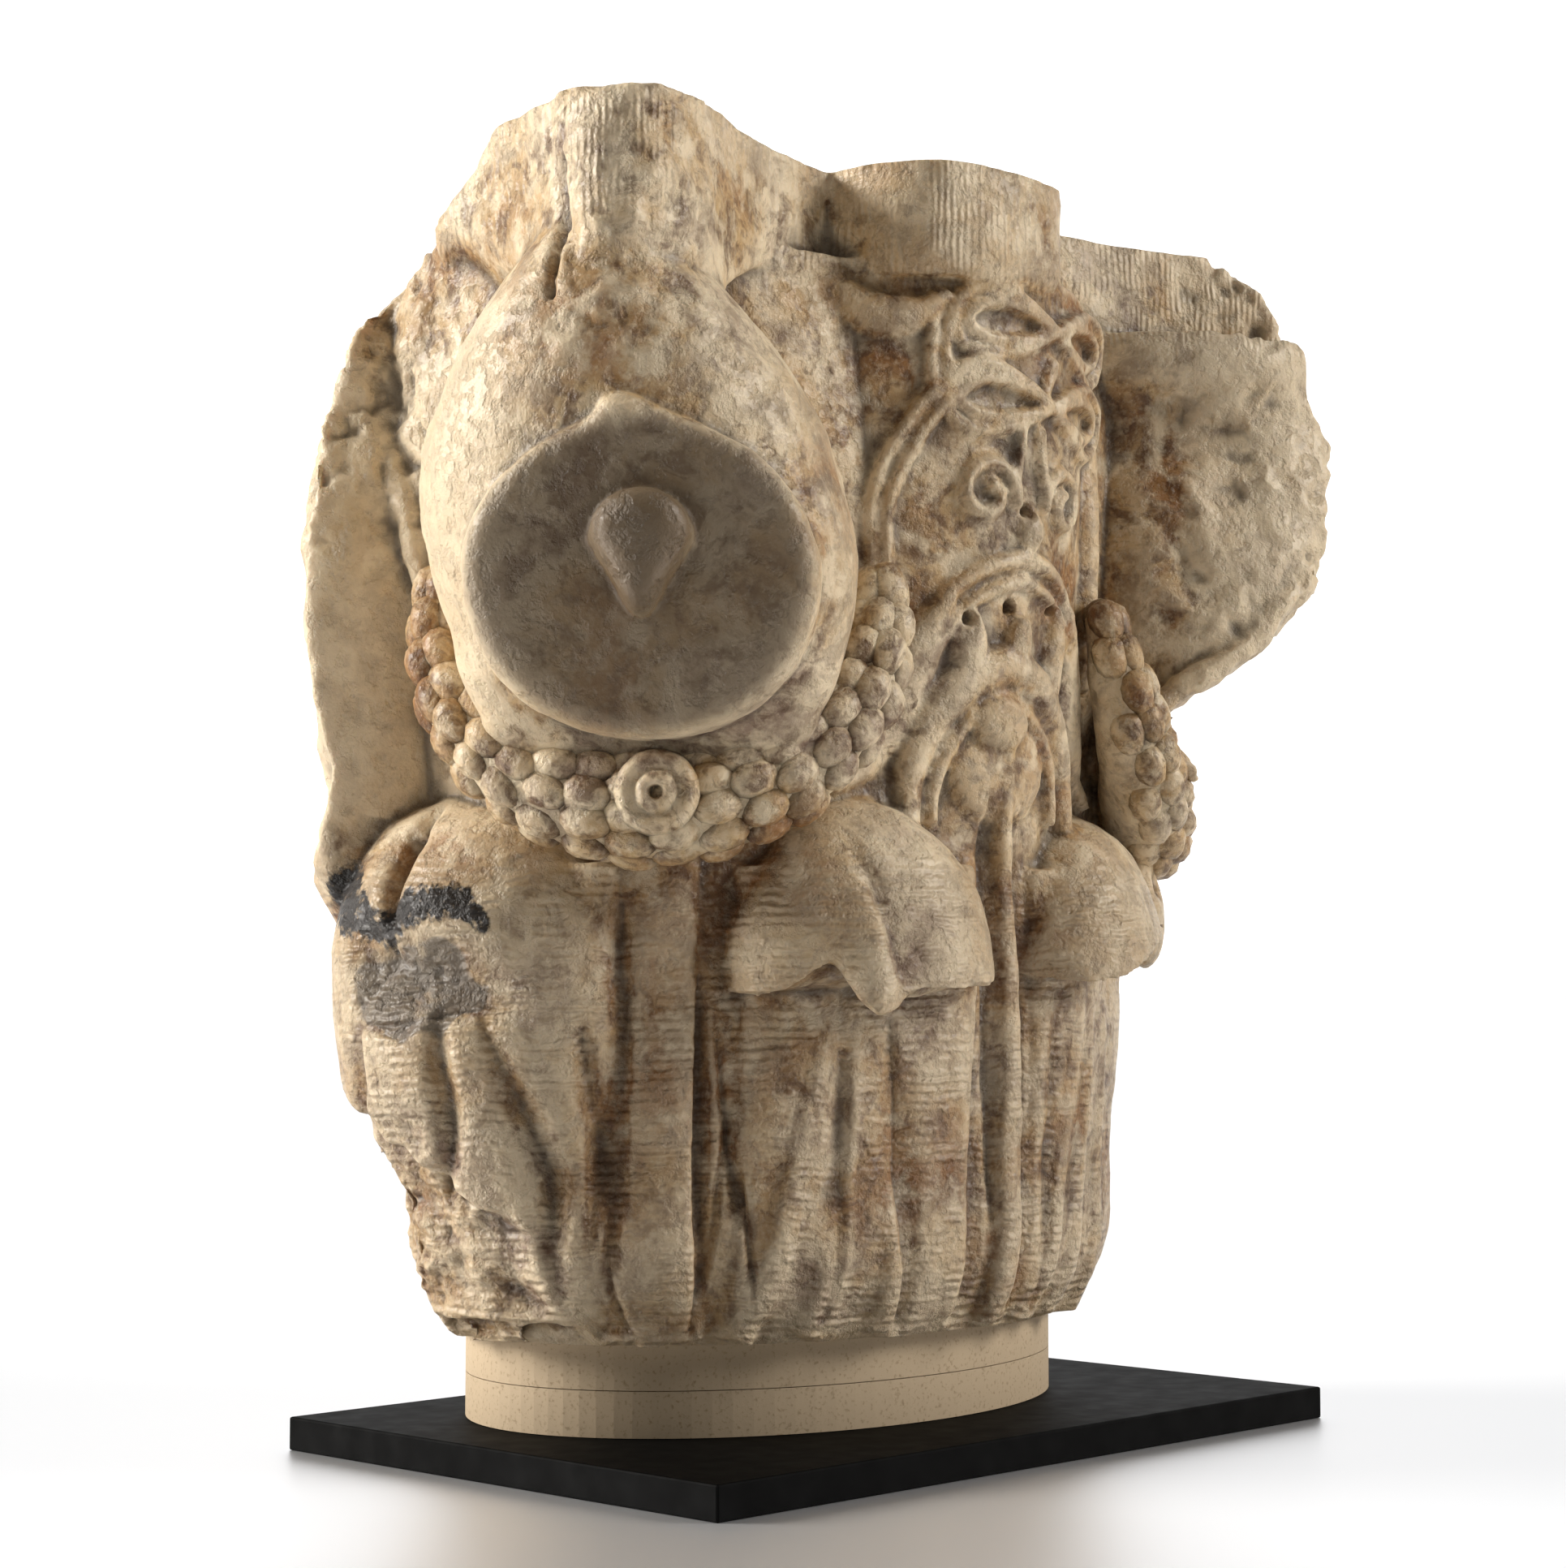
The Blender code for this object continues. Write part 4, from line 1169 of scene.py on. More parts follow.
@dataclass
class Stone:
    """The whole stone: gathers its forms, fuses them and weathers the skin.

    The holes are drilled at places given by run and height. The crack in the cut corner has
    places given by reach, side step and height, then its depth and half width. Each wear has
    its depth, the widest cell of its noise and its seed. Crag, dent and pit roughen the breaks,
    facet and chip the broken right corner, and crumbled the worn left face.
    """

    bed: np.ndarray
    size: float
    voxel: float = 1.3
    faces: int = 196000
    drilled: tuple = ((-16, 254), (4, 259), (29, 261), (8, 294))
    bore: float = 2.6
    bore_depth: float = 6.0
    crack: tuple = ((88, -26, 412), (88, -28, 392), (87, -27, 368), (86, -29, 344))
    crack_cut: tuple = (4.6, 2.0)
    wear: tuple = ((0.9, 46.0, 11), (0.45, 12.0, 23))
    crag: float = 2.6
    dent: float = 1.6
    pit: float = 3.0
    facet: float = 4.4
    chip: float = 1.8
    crumbled: float = 6.5

    def forms(self) -> list:
        """Every closed form of the stone, in its own frame.

        Returns:
            Stacks of rings.
        """
        body = Body()
        found = body.shells() + Abacus().shells()
        for corner in (LEFT_FRONT, RIGHT_FRONT, RIGHT_BACK, LEFT_BACK):
            horn = Horn(
                corner,
                worn=corner is not LEFT_FRONT,
                trail=0.9 if corner is LEFT_BACK else 0.0,
                fill=-8.0 if corner is RIGHT_FRONT else 0.0,
                stretch=1.25 if corner is RIGHT_FRONT else 1.0,
            )
            found += horn.egg()
            if corner is not RIGHT_FRONT:
                found += self.corner_band(body, corner)
            if corner is LEFT_BACK:
                continue
            found += horn.keel() + Festoon(corner).roll()
            found += self.torn_lip() if corner is RIGHT_FRONT else horn.disc()
            if corner is LEFT_FRONT:
                found += horn.drop()
        for side in (Side.FRONT, Side.BACK):
            wall = Wall(body, side)
            found += Leaf(
                wall,
                -55,
                half_width=49,
                under_steps=(-1.0, -0.8, -0.56, -0.44, -0.3, -0.14, 0.0, 0.3, 1.0),
                under_heights=(112, 119, 130, 119, 112, 115, 122, 122, 120),
                ridge=((-0.3, 0.18, 0.16), (0.3, 0.25, 0.06)),
            ).shells()
            found += Leaf(wall, 68, boss=((106, 152, (17, 24, 9), 16.0),)).shells()
            found += FrontCarving(wall).shells(plain=side is Side.BACK)
        for side, middle, half_width, reach in ((Side.LEFT, 8, 72, 38), (Side.RIGHT, 14, 60, 28)):
            wall = Wall(body, side)
            found += Leaf(wall, middle, half_width, reach=reach, head_form=Head.WORN).shells()
            found += SideCarving(wall).shells()
        return found

    def corner_band(self, body: Body, corner: Corner) -> list:
        """The plain band up the bell under a corner, between two leaves.

        Args:
            body: The bell.
            corner: The corner.

        Returns:
            Stacks of rings.
        """
        heights = np.linspace(2, 190, 80)
        half_u, half_v = body.bell_axes(heights)
        low = len(heights) // 4
        turn = np.arctan2(corner.root[1] / half_v[low], corner.root[0] / half_u[low])
        path = np.column_stack([half_u * np.cos(turn), half_v * np.sin(turn), heights])
        outward = unit(np.array([np.cos(turn) / half_u[low], np.sin(turn) / half_v[low], 0.0]))
        return [bar(path, outward, 17.0, 5.0, 30)]

    def torn_lip(self) -> list:
        """The ridge that falls across the right corner over its broken underside.

        Returns:
            Stacks of rings.
        """
        places = ((85, -32, 286), (72, -42, 270), (54, -50, 252), (26, -55, 234), (10, -56, 218))
        route = smooth_path(places, 60)
        path = RIGHT_FRONT.place(*route.T)
        return [bar(path, -RIGHT_FRONT.side, np.linspace(8, 5, 60), np.linspace(9, 6, 60), 20)]

    def fuse(self, forms: list) -> Skin:
        """Fuse overlapping closed forms to one skin on a voxel grid.

        Args:
            forms: Stacks of rings.

        Returns:
            The skin, in the stone's frame.
        """
        points, faces = gather(forms)
        mesh = bpy.data.meshes.new("forms")
        mesh.from_pydata(points.tolist(), [], faces)
        return Skin(*modified(mesh, "REMESH", {"mode": "VOXEL", "voxel_size": self.voxel}, 4))

    def grooves(self) -> list:
        """The cut lines of the faces that show, and the crack.

        Returns:
            The cut lines.
        """
        found = []
        for side, depth, half_width, out, *places in LINES:
            wall = Wall(Body(), side)
            route = smooth_path(places, 24)
            path = wall.place(route[:, 0], route[:, 1], out)[0]
            found.append(Groove(path, wall.turn(np.array([0.0, 1.0, 0.0])), depth, half_width))
        crack = LEFT_FRONT.place(*np.array(self.crack).T)
        return [*found, Groove(crack, LEFT_FRONT.out, *self.crack_cut)]

    def holes(self) -> list:
        """The places and outward directions of the drilled holes in the front."""
        front = Wall(Body(), Side.FRONT)
        return [front.place(run, height, 1.0) for run, height in self.drilled]

    def weather(self, skin: Skin) -> Skin:
        """Wear the skin: round its edges, cut its lines and holes, and roughen its breaks.

        Args:
            skin: The fused skin.

        Returns:
            The weathered skin.
        """
        skin.points = skin.smoothed(3)
        points, normals = skin.points, unit(skin.normals() + 1e-9)
        move = sum(depth * rough_noise(points, cell, 2, seed) for depth, cell, seed in self.wear)
        broken = self.broken(points)
        crags = rough_noise(points, 17.0, 3, 37)
        pits = np.minimum(rough_noise(points, 9.0, 2, 41) + 0.25, 0)
        dents = np.abs(lattice_noise(points, 8.0, 43))
        move += broken * (self.crag * crags - self.dent * dents + self.pit * pits)
        out, _, height = RIGHT_FRONT.read(points)
        horn = soft_step(out, 6, 40) * soft_step(height, 205, 225) * soft_step(height, 374, 354)
        move -= self.facet * horn * np.abs(rough_noise(points, 36.0, 2, 29))
        move -= self.chip * horn * np.abs(rough_noise(points, 13.0, 2, 31))
        move -= sum(groove.cut(points) for groove in self.grooves())
        move -= self.crumbled * self.eroded(points)
        points = points + normals * move[:, None]
        depth = self.bore_depth
        for at, outward in self.holes():
            away = points - at
            aside = away - (away @ outward)[:, None] * outward
            share = np.exp(-((np.linalg.norm(aside, axis=1) / self.bore) ** 4))
            share *= soft_step(away @ outward, -depth, -depth * 0.4)
            share *= np.linalg.norm(away, axis=1) < 3 * depth
            points = points - outward * (share * depth)[:, None]
        points[:, 2] = np.clip(points[:, 2], 0.0, TOP)
        return Skin(points, skin.quads)

    def paler_stone_and_painted_light(self, points: np.ndarray) -> np.ndarray:
        """The paler breaks: both broken corners and the right end of the slab, from 0 to 1; newly
        broken stone, paled further as painted light on the lit left and right sides.

        Args:
            points: The skin's points.

        Returns:
            A share for each point.
        """
        out, _, height = LEFT_BACK.read(points)
        left = soft_step(out, -44, -14) * soft_step(height, 150, 190) * soft_step(height, 372, 330)
        out, _, height = RIGHT_FRONT.read(points)
        right = soft_step(out, 10, 44) * soft_step(height, 200, 228)
        return np.maximum(left, right)

    def eroded(self, points: np.ndarray) -> np.ndarray:
        """How much the short left face has crumbled under a torn edge of its leaf, from 0 to 1.

        Args:
            points: The skin's points.

        Returns:
            A share for each point.
        """
        u, v, w = points.T
        edge = np.interp(v, (-46, -30, -12, 10, 40), (34, 46, 56, 68, 82))
        edge = edge + 5 * lattice_noise(points, 11.0, 91)
        share = soft_step(w - edge, 2, -4) * soft_step(v, -42, -28)
        return share * soft_step(u, -120, -130) * soft_step(w, 4, 16)

    def broken(self, points: np.ndarray) -> np.ndarray:
        """How broken the stone is at each point, from 0 for carved to 1 for broken.

        Args:
            points: The skin's points.

        Returns:
            A share for each point.
        """
        out, side, height = LEFT_FRONT.read(points)
        ridge = soft_step(out, 60, 72) * soft_step(np.abs(side + 8), 34, 20)
        ridge *= 0.6 * soft_step(height, 315, 335)
        out, _, height = RIGHT_FRONT.read(points)
        right = soft_step(out, 28, 50) * soft_step(height, 366, 380)
        right = np.maximum(right, soft_step(out, 70, 90) * soft_step(height, 300, 284))
        torn = soft_step(height - 229 - (out - 44), 2, -8) * soft_step(out, 16, 34)
        torn *= soft_step(height, 186, 200)
        out, _, height = LEFT_BACK.read(points)
        left = soft_step(out, -6, 8) * soft_step(height, 230, 330)
        left = np.maximum(left, soft_step(out, -12, 4) * soft_step(height, 100, 60))
        rim = np.maximum(0.6 * soft_step(height, 14, 2), 0.35 * soft_step(height, 403, 411))
        worn = np.max([0.75 * self.eroded(points), 0.8 * self.bare(points), 0.8 * torn], axis=0)
        return np.clip(np.max([ridge, right, left, rim, worn], axis=0), 0, 1)

    def bare(self, points: np.ndarray) -> np.ndarray:
        """The grey crystalline hollow that a blow left in the worn leaf's head, from 0 to 1.

        Args:
            points: The skin's points.

        Returns:
            A share for each point.
        """
        u, v, w = points.T
        spread = np.hypot((v + 8 + 0.2 * (w - 128)) / 27, (w - 122) / 19)
        spread = spread + 0.25 * lattice_noise(points, 12.0, 95)
        return soft_step(spread, 1.1, 0.8) * soft_step(u, -118, -126)

    def crust(self, points: np.ndarray) -> np.ndarray:
        """Black crust under the worn leaf's head, from 0 to 1.

        Args:
            points: The skin's points.

        Returns:
            A share for each point.
        """
        v, w = points[:, 1], points[:, 2]
        edge = np.interp(v, (-38, -26, -8, 4, 14, 36, 52), (140, 152, 150, 141, 146, 156, 148))
        reach = np.interp(v, (-38, -10, 10, 30, 50), (5, 9, 8, 15, 12))
        band = soft_step(np.abs(w - edge) / reach, 1.5, 0.4) * soft_step(points[:, 0], -108, -116)
        return band * soft_step(np.abs(v - 8), 50, 40)

    def thin(self, skin: Skin) -> tuple:
        """Bring the skin under its count of triangles, keeping what is curved most.

        Args:
            skin: The weathered skin.

        Returns:
            Points and triangles.
        """
        mesh = bpy.data.meshes.new("skin")
        fill_mesh(mesh, skin.points, skin.quads)
        ratio = min(1.0, self.faces / (2 * len(skin.quads)))
        settings = {"ratio": ratio, "use_collapse_triangulate": True}
        return largest_island(*modified(mesh, "DECIMATE", settings, 3))

    def build(self) -> bpy.types.Object:
        """Make the stone's object.

        Returns:
            The object, in metres in the frame.
        """
        skin = self.weather(self.fuse(self.forms()))
        log.info("stone skin has %d points before thinning", len(skin.points))
        points, triangles = self.thin(skin)
        mesh = bpy.data.meshes.new("stone")
        fill_mesh(mesh, points * self.size + self.bed, triangles)
        self.mark(mesh, points, triangles)
        return add_object("stone", mesh)

    def mark(self, mesh: bpy.types.Mesh, points: np.ndarray, triangles: np.ndarray) -> None:
        """Write what the marble's finish reads at each point: hollows, breaks and chiselled parts,
        and where it paints shade and light.

        Args:
            mesh: The stone's mesh.
            points: Its points, in the stone's frame.
            triangles: Its triangles.
        """
        skin = Skin(points, np.column_stack([triangles, triangles[:, 2]]))
        normals = unit(skin.normals() + 1e-9)
        # Hollow reads how far a point sinks below its smoothed neighbours: the finish darkens
        # hollows with grime and painted shade, and paints a highlight on ridges.
        wide = np.einsum("ij,ij->i", skin.smoothed(24, 0.6) - points, normals)
        write_value(mesh, "hollow", np.clip(0.5 + wide / 3.0, 0, 1))
        # Paler on the breaks: newly broken stone, with painted light on the lit left and right
        # sides.
        write_value(mesh, "paler_stone_and_painted_light", self.paler_stone_and_painted_light(points))
        out, side, height = LEFT_FRONT.read(points)
        smooth_egg = soft_step(out, 20, 40) * soft_step(height, 170, 200)
        claw = soft_step(points[:, 2], 176, 150) * (1 - smooth_egg)
        write_value(mesh, "claw", np.clip(claw, 0, 1))
        # Greyer tone on the disc's face, with painted shade on it and more on the drop, as on faces
        # that turn down under the abacus.
        horn = Horn(LEFT_FRONT)
        rise = height - horn.disc_height
        proud = out - horn.lean(rise)
        spread = np.hypot(side / horn.disc_half[0], rise / horn.disc_half[1])
        face = soft_step(proud, -9, -4) * soft_step(spread, 1.02, 0.9)
        write_value(mesh, "disc_grey_and_painted_shade", face * (0.78 + 0.22 * soft_step(proud, 3, 8)))
        write_value(mesh, "crust", self.crust(points))
        write_value(mesh, "bare", self.bare(points))
        write_value(mesh, "slab", 0.45 * soft_step(height, 366, 376))


@dataclass
class Festoons:
    """The berries and rosettes of the festoons, as small closed shells sunk in the stone."""

    bed: np.ndarray
    size: float
    corners: tuple = (LEFT_FRONT, RIGHT_FRONT, RIGHT_BACK)
    rows: int = 7
    sides: int = 10

    def shell(self) -> np.ndarray:
        """One berry of unit size: x = sin s, r = cos^0.8 s (1 - 0.16 sin s), turned about x.

        Returns:
            Its rings.
        """
        rise = np.linspace(-0.5 * np.pi + 0.16, 0.5 * np.pi - 0.16, self.rows)[:, None]
        turn = turns(self.sides)[None, :]
        radius = np.cos(rise) ** 0.8 * (1 - 0.16 * np.sin(rise))
        along = np.sin(rise) * np.ones_like(turn)
        return np.stack([along, radius * np.cos(turn), radius * np.sin(turn)], axis=-1)

    def build(self) -> bpy.types.Object:
        """Make the festoons' object.

        Returns:
            The object, in metres in the frame.
        """
        shell = self.shell()
        forms, lifts = [], []
        for corner in self.corners:
            festoon = Festoon(corner)
            middles, axes, radii = festoon.berries()
            kept = np.all([crack.keeps(middles) for crack in BREAKS], axis=0)
            middles, axes, radii = middles[kept], axes[kept], radii[kept]
            local = shell[None] * radii[:, None, None, :]
            found = np.einsum("nrsk,nkl->nrsl", local, axes) + middles[:, None, None, :]
            forms += list(found)
            lifts += [shell[..., 2]] * len(found)
            if corner is LEFT_FRONT:
                rosette = festoon.rosette()[0]
                forms.append(rosette)
                lifts.append(np.clip((rosette - festoon.rosette_axis()) @ corner.out / 4, -1, 1))
        points, faces = gather(forms, pressed=False)
        lift = np.concatenate([value.ravel() for value in lifts])
        shifts = [rough_noise(points, 9.0, 2, seed) for seed in (51, 57, 63)]
        points = points + 0.5 * np.stack(shifts, axis=1)
        mesh = bpy.data.meshes.new("festoons")
        mesh.from_pydata((points * self.size + self.bed).tolist(), [], faces)
        mesh.shade_smooth()
        # Painted shade: each berry darkens where it turns in towards the roll and its neighbours,
        # and the rosette darkens where it sinks back.
        write_value(mesh, "hollow", 0.42 + 0.58 * soft_step(lift, 0.7, -0.15))
        write_value(mesh, "paler_stone_and_painted_light", np.full(len(points), 0.5))
        for name in ("claw", "disc_grey_and_painted_shade", "crust", "bare", "slab"):
            write_value(mesh, name, np.zeros(len(points)))
        return add_object("festoons", mesh)


def gather(forms: list, pressed: bool = True) -> tuple:
    """Gather stacks of rings to one list of points and faces, less what the breaks took.

    Args:
        forms: Stacks of rings, each closed with a cap at both ends.
        pressed: Whether the breaks push the forms back.

    Returns:
        The points and the faces.
    """
    points, faces, count = [], [], 0
    for rings in forms:
        for crack in BREAKS if pressed else ():
            rings = crack.press(rings)
        rows, columns = rings.shape[:2]
        index = np.arange(rows * columns).reshape(rows, columns) + count
        beside = np.roll(index, -1, axis=1)
        quads = np.stack([index[:-1], beside[:-1], beside[1:], index[1:]], axis=-1)
        faces += quads.reshape(-1, 4).tolist() + [index[0][::-1].tolist(), index[-1].tolist()]
        points.append(rings.reshape(-1, 3))
        count += rows * columns
    return np.concatenate(points), faces


def add_object(name: str, data: bpy.types.ID) -> bpy.types.Object:
    """Add an object that shows some data to the scene.

    Args:
        name: Its name.
        data: Its mesh, light or camera.

    Returns:
        The object.
    """
    thing = bpy.data.objects.new(name, data)
    bpy.context.scene.collection.objects.link(thing)
    return thing


def modified(mesh: bpy.types.Mesh, kind: str, settings: dict, sides: int) -> tuple:
    """Put a mesh through one modifier, and delete the mesh.

    Args:
        mesh: The mesh.
        kind: The modifier's type.
        settings: The modifier's properties.
        sides: How many sides each face that comes out has.

    Returns:
        The points and the faces that come out.
    """
    thing = add_object(mesh.name, mesh)
    change = thing.modifiers.new(kind, kind)
    for key, value in settings.items():
        setattr(change, key, value)
    made = thing.evaluated_get(bpy.context.evaluated_depsgraph_get()).to_mesh()
    points = np.empty(len(made.vertices) * 3)
    made.vertices.foreach_get("co", points)
    corners = np.empty(len(made.loops), dtype=np.int32)
    made.loops.foreach_get("vertex_index", corners)
    if len(corners) != sides * len(made.polygons):
        raise ValueError(f"{kind} left a face that doesn't have {sides} sides")
    bpy.data.objects.remove(thing)
    bpy.data.meshes.remove(mesh)
    return points.reshape(-1, 3), corners.reshape(-1, sides)


def largest_island(points: np.ndarray, triangles: np.ndarray) -> tuple:
    """Keep the largest joined part of a mesh.

    Every triangle gives its corners their lowest label, over and over, until nothing changes.

    Args:
        points: The mesh's points.
        triangles: Its triangles.

    Returns:
        The part's points and triangles.
    """
    label = np.arange(len(points))
    while True:
        before = label.copy()
        np.minimum.at(label, triangles.ravel(), np.repeat(label[triangles].min(axis=1), 3))
        label = label[label]
        if np.array_equal(before, label):
            break
    kept = label == np.bincount(label).argmax()
    place = np.cumsum(kept) - 1
    return points[kept], place[triangles[kept[triangles[:, 0]]]]


def fill_mesh(mesh: bpy.types.Mesh, points: np.ndarray, faces: np.ndarray) -> None:
    """Put points and faces of one kind into an empty mesh, shaded smooth.

    Args:
        mesh: The empty mesh.
        points: Its points.
        faces: Its faces, all with as many corners.
    """
    sides = faces.shape[1]
    mesh.vertices.add(len(points))
    mesh.vertices.foreach_set("co", points.astype(np.float32).ravel())
    mesh.loops.add(faces.size)
    mesh.loops.foreach_set("vertex_index", faces.astype(np.int32).ravel())
    mesh.polygons.add(len(faces))
    mesh.polygons.foreach_set("loop_start", np.arange(0, faces.size, sides, dtype=np.int32))
    mesh.update(calc_edges=True)
    mesh.shade_smooth()


def write_value(mesh: bpy.types.Mesh, name: str, values: np.ndarray) -> None:
    """Write one number for each point of a mesh."""
    layer = mesh.attributes.new(name, "FLOAT", "POINT")
    layer.data.foreach_set("value", values.astype(np.float32))


def linear(code: str) -> tuple:
    """Turn an sRGB hex colour into the linear one that a shader takes.

    Args:
        code: Six hex digits, such as "d8c4a0".

    Returns:
        Red, green, blue and 1.
    """
    values = np.array([int(code[at : at + 2], 16) for at in (0, 2, 4)]) / 255
    values = np.where(values <= 0.04045, values / 12.92, ((values + 0.055) / 1.055) ** 2.4)
    return (*values.tolist(), 1.0)


def add_node(tree: bpy.types.NodeTree, kind: str, settings: dict, inputs: dict) -> bpy.types.Node:
    """Add a node with its settings, and set or link its inputs.

    Args:
        tree: The material's tree.
        kind: The node's type.
        settings: Properties of the node itself.
        inputs: By input name or number: a value, or the output socket to link.

    Returns:
        The node.
    """
    node = tree.nodes.new(kind)
    for key, value in settings.items():
        setattr(node, key, value)
    feed(tree, node, inputs)
    return node


def feed(tree: bpy.types.NodeTree, node: bpy.types.Node, inputs: dict) -> None:
    """Set a node's inputs, or link them where the value is another node's socket.

    Args:
        tree: The tree that the node stands in.
        node: The node.
        inputs: By input name or number: a value, or the output socket to link.
    """
    for key, value in inputs.items():
        if isinstance(value, bpy.types.NodeSocket):
            tree.links.new(value, node.inputs[key])
        else:
            node.inputs[key].default_value = value


def new_material(name: str) -> tuple:
    """Start a material.

    Args:
        name: Its name.

    Returns:
        The material, its tree and its shader.
    """
    made = bpy.data.materials.new(name)
    made.use_nodes = True
    return made, made.node_tree, made.node_tree.nodes["Principled BSDF"]


def object_place(tree: bpy.types.NodeTree) -> bpy.types.NodeSocket:
    """The socket of the Object coordinates, in metres from the object's origin."""
    return add_node(tree, "ShaderNodeTexCoord", {}, {}).outputs["Object"]


def set_ramp(node: bpy.types.Node, stops: tuple) -> None:
    """Give a colour ramp its stops: place and hex colour.

    Args:
        node: The ramp's node.
        stops: Each stop's place and hex colour.
    """
    ramp = node.color_ramp
    while len(ramp.elements) < len(stops):
        ramp.elements.new(0.5)
    for element, (place, code) in zip(ramp.elements, stops):
        element.position = place
        element.color = linear(code)


@dataclass(frozen=True)
class WeatheredMarble:
    """Coarse white marble, claw-chiselled, stained honey and brown, with grey grime and painted
    shade in hollows.

    The chisel's teeth leave furrows 3.5 mm apart, so the lower part looks combed. The crystals
    are 1 to 2 mm wide and let a little light in, so its lit edges look waxy. Each stain has its
    patches' size, the noise's values where it begins and is full, and its strength. Each bump
    has its strength and its depth: furrows, pits and grain.
    """

    pale: str = "e0cdad"
    cream: str = "be9f73"
    honey: str = "966b3f"
    brown: str = "5c3e26"
    grey: str = "9e8773"
    grime_and_painted_shade: str = "2e2118"
    # Colour of the disc's greyer tone and of the painted shade on the disc and the drop.
    shade: str = "65543f"
    bare: str = "6a6156"
    crust: str = "231c16"
    furrow: float = 3.5 * MM
    crystal: float = 1.6 * MM
    roughness: float = 0.42
    refraction: float = 1.5
    specular: float = 0.4
    glow: float = 0.12
    glow_radius: tuple = (6.0 * MM, 3.5 * MM, 2.0 * MM)
    stains: tuple = (
        *((26 * MM, 0.52, 0.66, 0.75), (10 * MM, 0.50, 0.62, 0.75)),
        (4 * MM, 0.52, 0.64, 0.55),
    )
    bumps: tuple = ((0.8, 0.5 * MM), (0.7, 0.9 * MM), (0.6, 0.7 * MM))

    def make(self) -> bpy.types.Material:
        """The material.

        Returns:
            A new material that reads Object coordinates and the stone's own attributes.
        """
        made, tree, shader = new_material("weathered_marble_claw_chiselled")
        place = object_place(tree)
        inputs = {
            "Base Color": self.colour(tree, place),
            "Normal": self.relief(tree, place),
            "Roughness": self.roughness,
            "IOR": self.refraction,
            "Specular IOR Level": self.specular,
            "Subsurface Weight": self.glow,
            "Subsurface Radius": self.glow_radius,
            "Subsurface Scale": 1.0,
        }
        feed(tree, shader, inputs)
        return made

    def noise(
        self, tree: bpy.types.NodeTree, place: bpy.types.NodeSocket, size: float, detail: float
    ) -> tuple:
        """Noise whose patches are about a given size in metres.

        Args:
            tree: The material's tree.
            place: The coordinates to read.
            size: The patches' size.
            detail: How many finer layers.

        Returns:
            The value socket and the colour socket.
        """
        inputs = {"Vector": place, "Scale": 1 / size, "Detail": detail, "Roughness": 0.6}
        node = add_node(tree, "ShaderNodeTexNoise", {}, inputs)
        return node.outputs[0], node.outputs[1]

    def colour(self, tree: bpy.types.NodeTree, place: bpy.types.NodeSocket) -> bpy.types.NodeSocket:
        """Broad staining, fine mottling, grime and painted shade in the hollows, painted highlights
        on ridges, paler breaks with painted light, and painted shade on the disc.

        Each layer has a value, where its colour begins and is full, how much of it shows then,
        and the colour.

        Args:
            tree: The material's tree.
            place: Object coordinates.

        Returns:
            The colour socket.
        """
        warp = self.noise(tree, place, 30 * MM, 3.0)[1]
        bent = add_node(tree, "ShaderNodeVectorMath", {"operation": "SCALE"}, {0: warp, 3: 30 * MM})
        bent = {0: place, 1: bent.outputs[0]}
        bent = add_node(tree, "ShaderNodeVectorMath", {"operation": "ADD"}, bent).outputs[0]
        broad = self.noise(tree, bent, 60 * MM, 8.0)[0]
        base = add_node(tree, "ShaderNodeValToRGB", {}, {0: broad})
        stops = ((0.34, self.grey), (0.43, self.pale), (0.52, self.cream), (0.64, self.honey))
        set_ramp(base, stops)
        colour = base.outputs[0]
        layers = []
        for size, *share in self.stains:
            layers.append((self.noise(tree, bent, size, 8.0)[0], *share, self.brown))
        hollow = self.attribute(tree, "hollow")
        layers += [
            (self.noise(tree, place, 14 * MM, 6.0)[0], 0.52, 0.64, 0.8, self.pale),
            (self.noise(tree, place, self.crystal * 1.5, 3.0)[0], 0.5, 0.75, 0.45, self.pale),
            (self.attribute(tree, "claw"), 0.0, 1.0, 0.3, self.brown),
            # Paler breaks: newly broken stone, with painted light on the lit left and right sides.
            (self.torn(tree, place, "paler_stone_and_painted_light", 14 * MM), 0.0, 1.0, 0.66, self.pale),
            # Grime and painted shade in the hollows, then a painted highlight on the ridges.
            (hollow, 0.56, 1.0, 0.7, self.grime_and_painted_shade),
            (hollow, 0.44, 0.15, 0.4, self.pale),
            # The disc's greyer tone, and painted shade on its face and on the drop.
            (self.attribute(tree, "disc_grey_and_painted_shade"), 0.0, 1.0, 0.94, self.shade),
            (self.torn(tree, place, "bare", 12 * MM), 0.0, 1.0, 0.8, self.bare),
            (self.torn(tree, place, "crust", 4 * MM), 0.0, 1.0, 1.0, self.crust),
        ]
        for value, low, high, most, code in layers:
            share = {0: value, 1: low, 2: high, 3: 0.0, 4: most}
            share = add_node(tree, "ShaderNodeMapRange", {}, share).outputs[0]
            mixed = {0: share, 6: colour, 7: linear(code)}
            colour = add_node(tree, "ShaderNodeMix", {"data_type": "RGBA"}, mixed).outputs[2]
        return colour

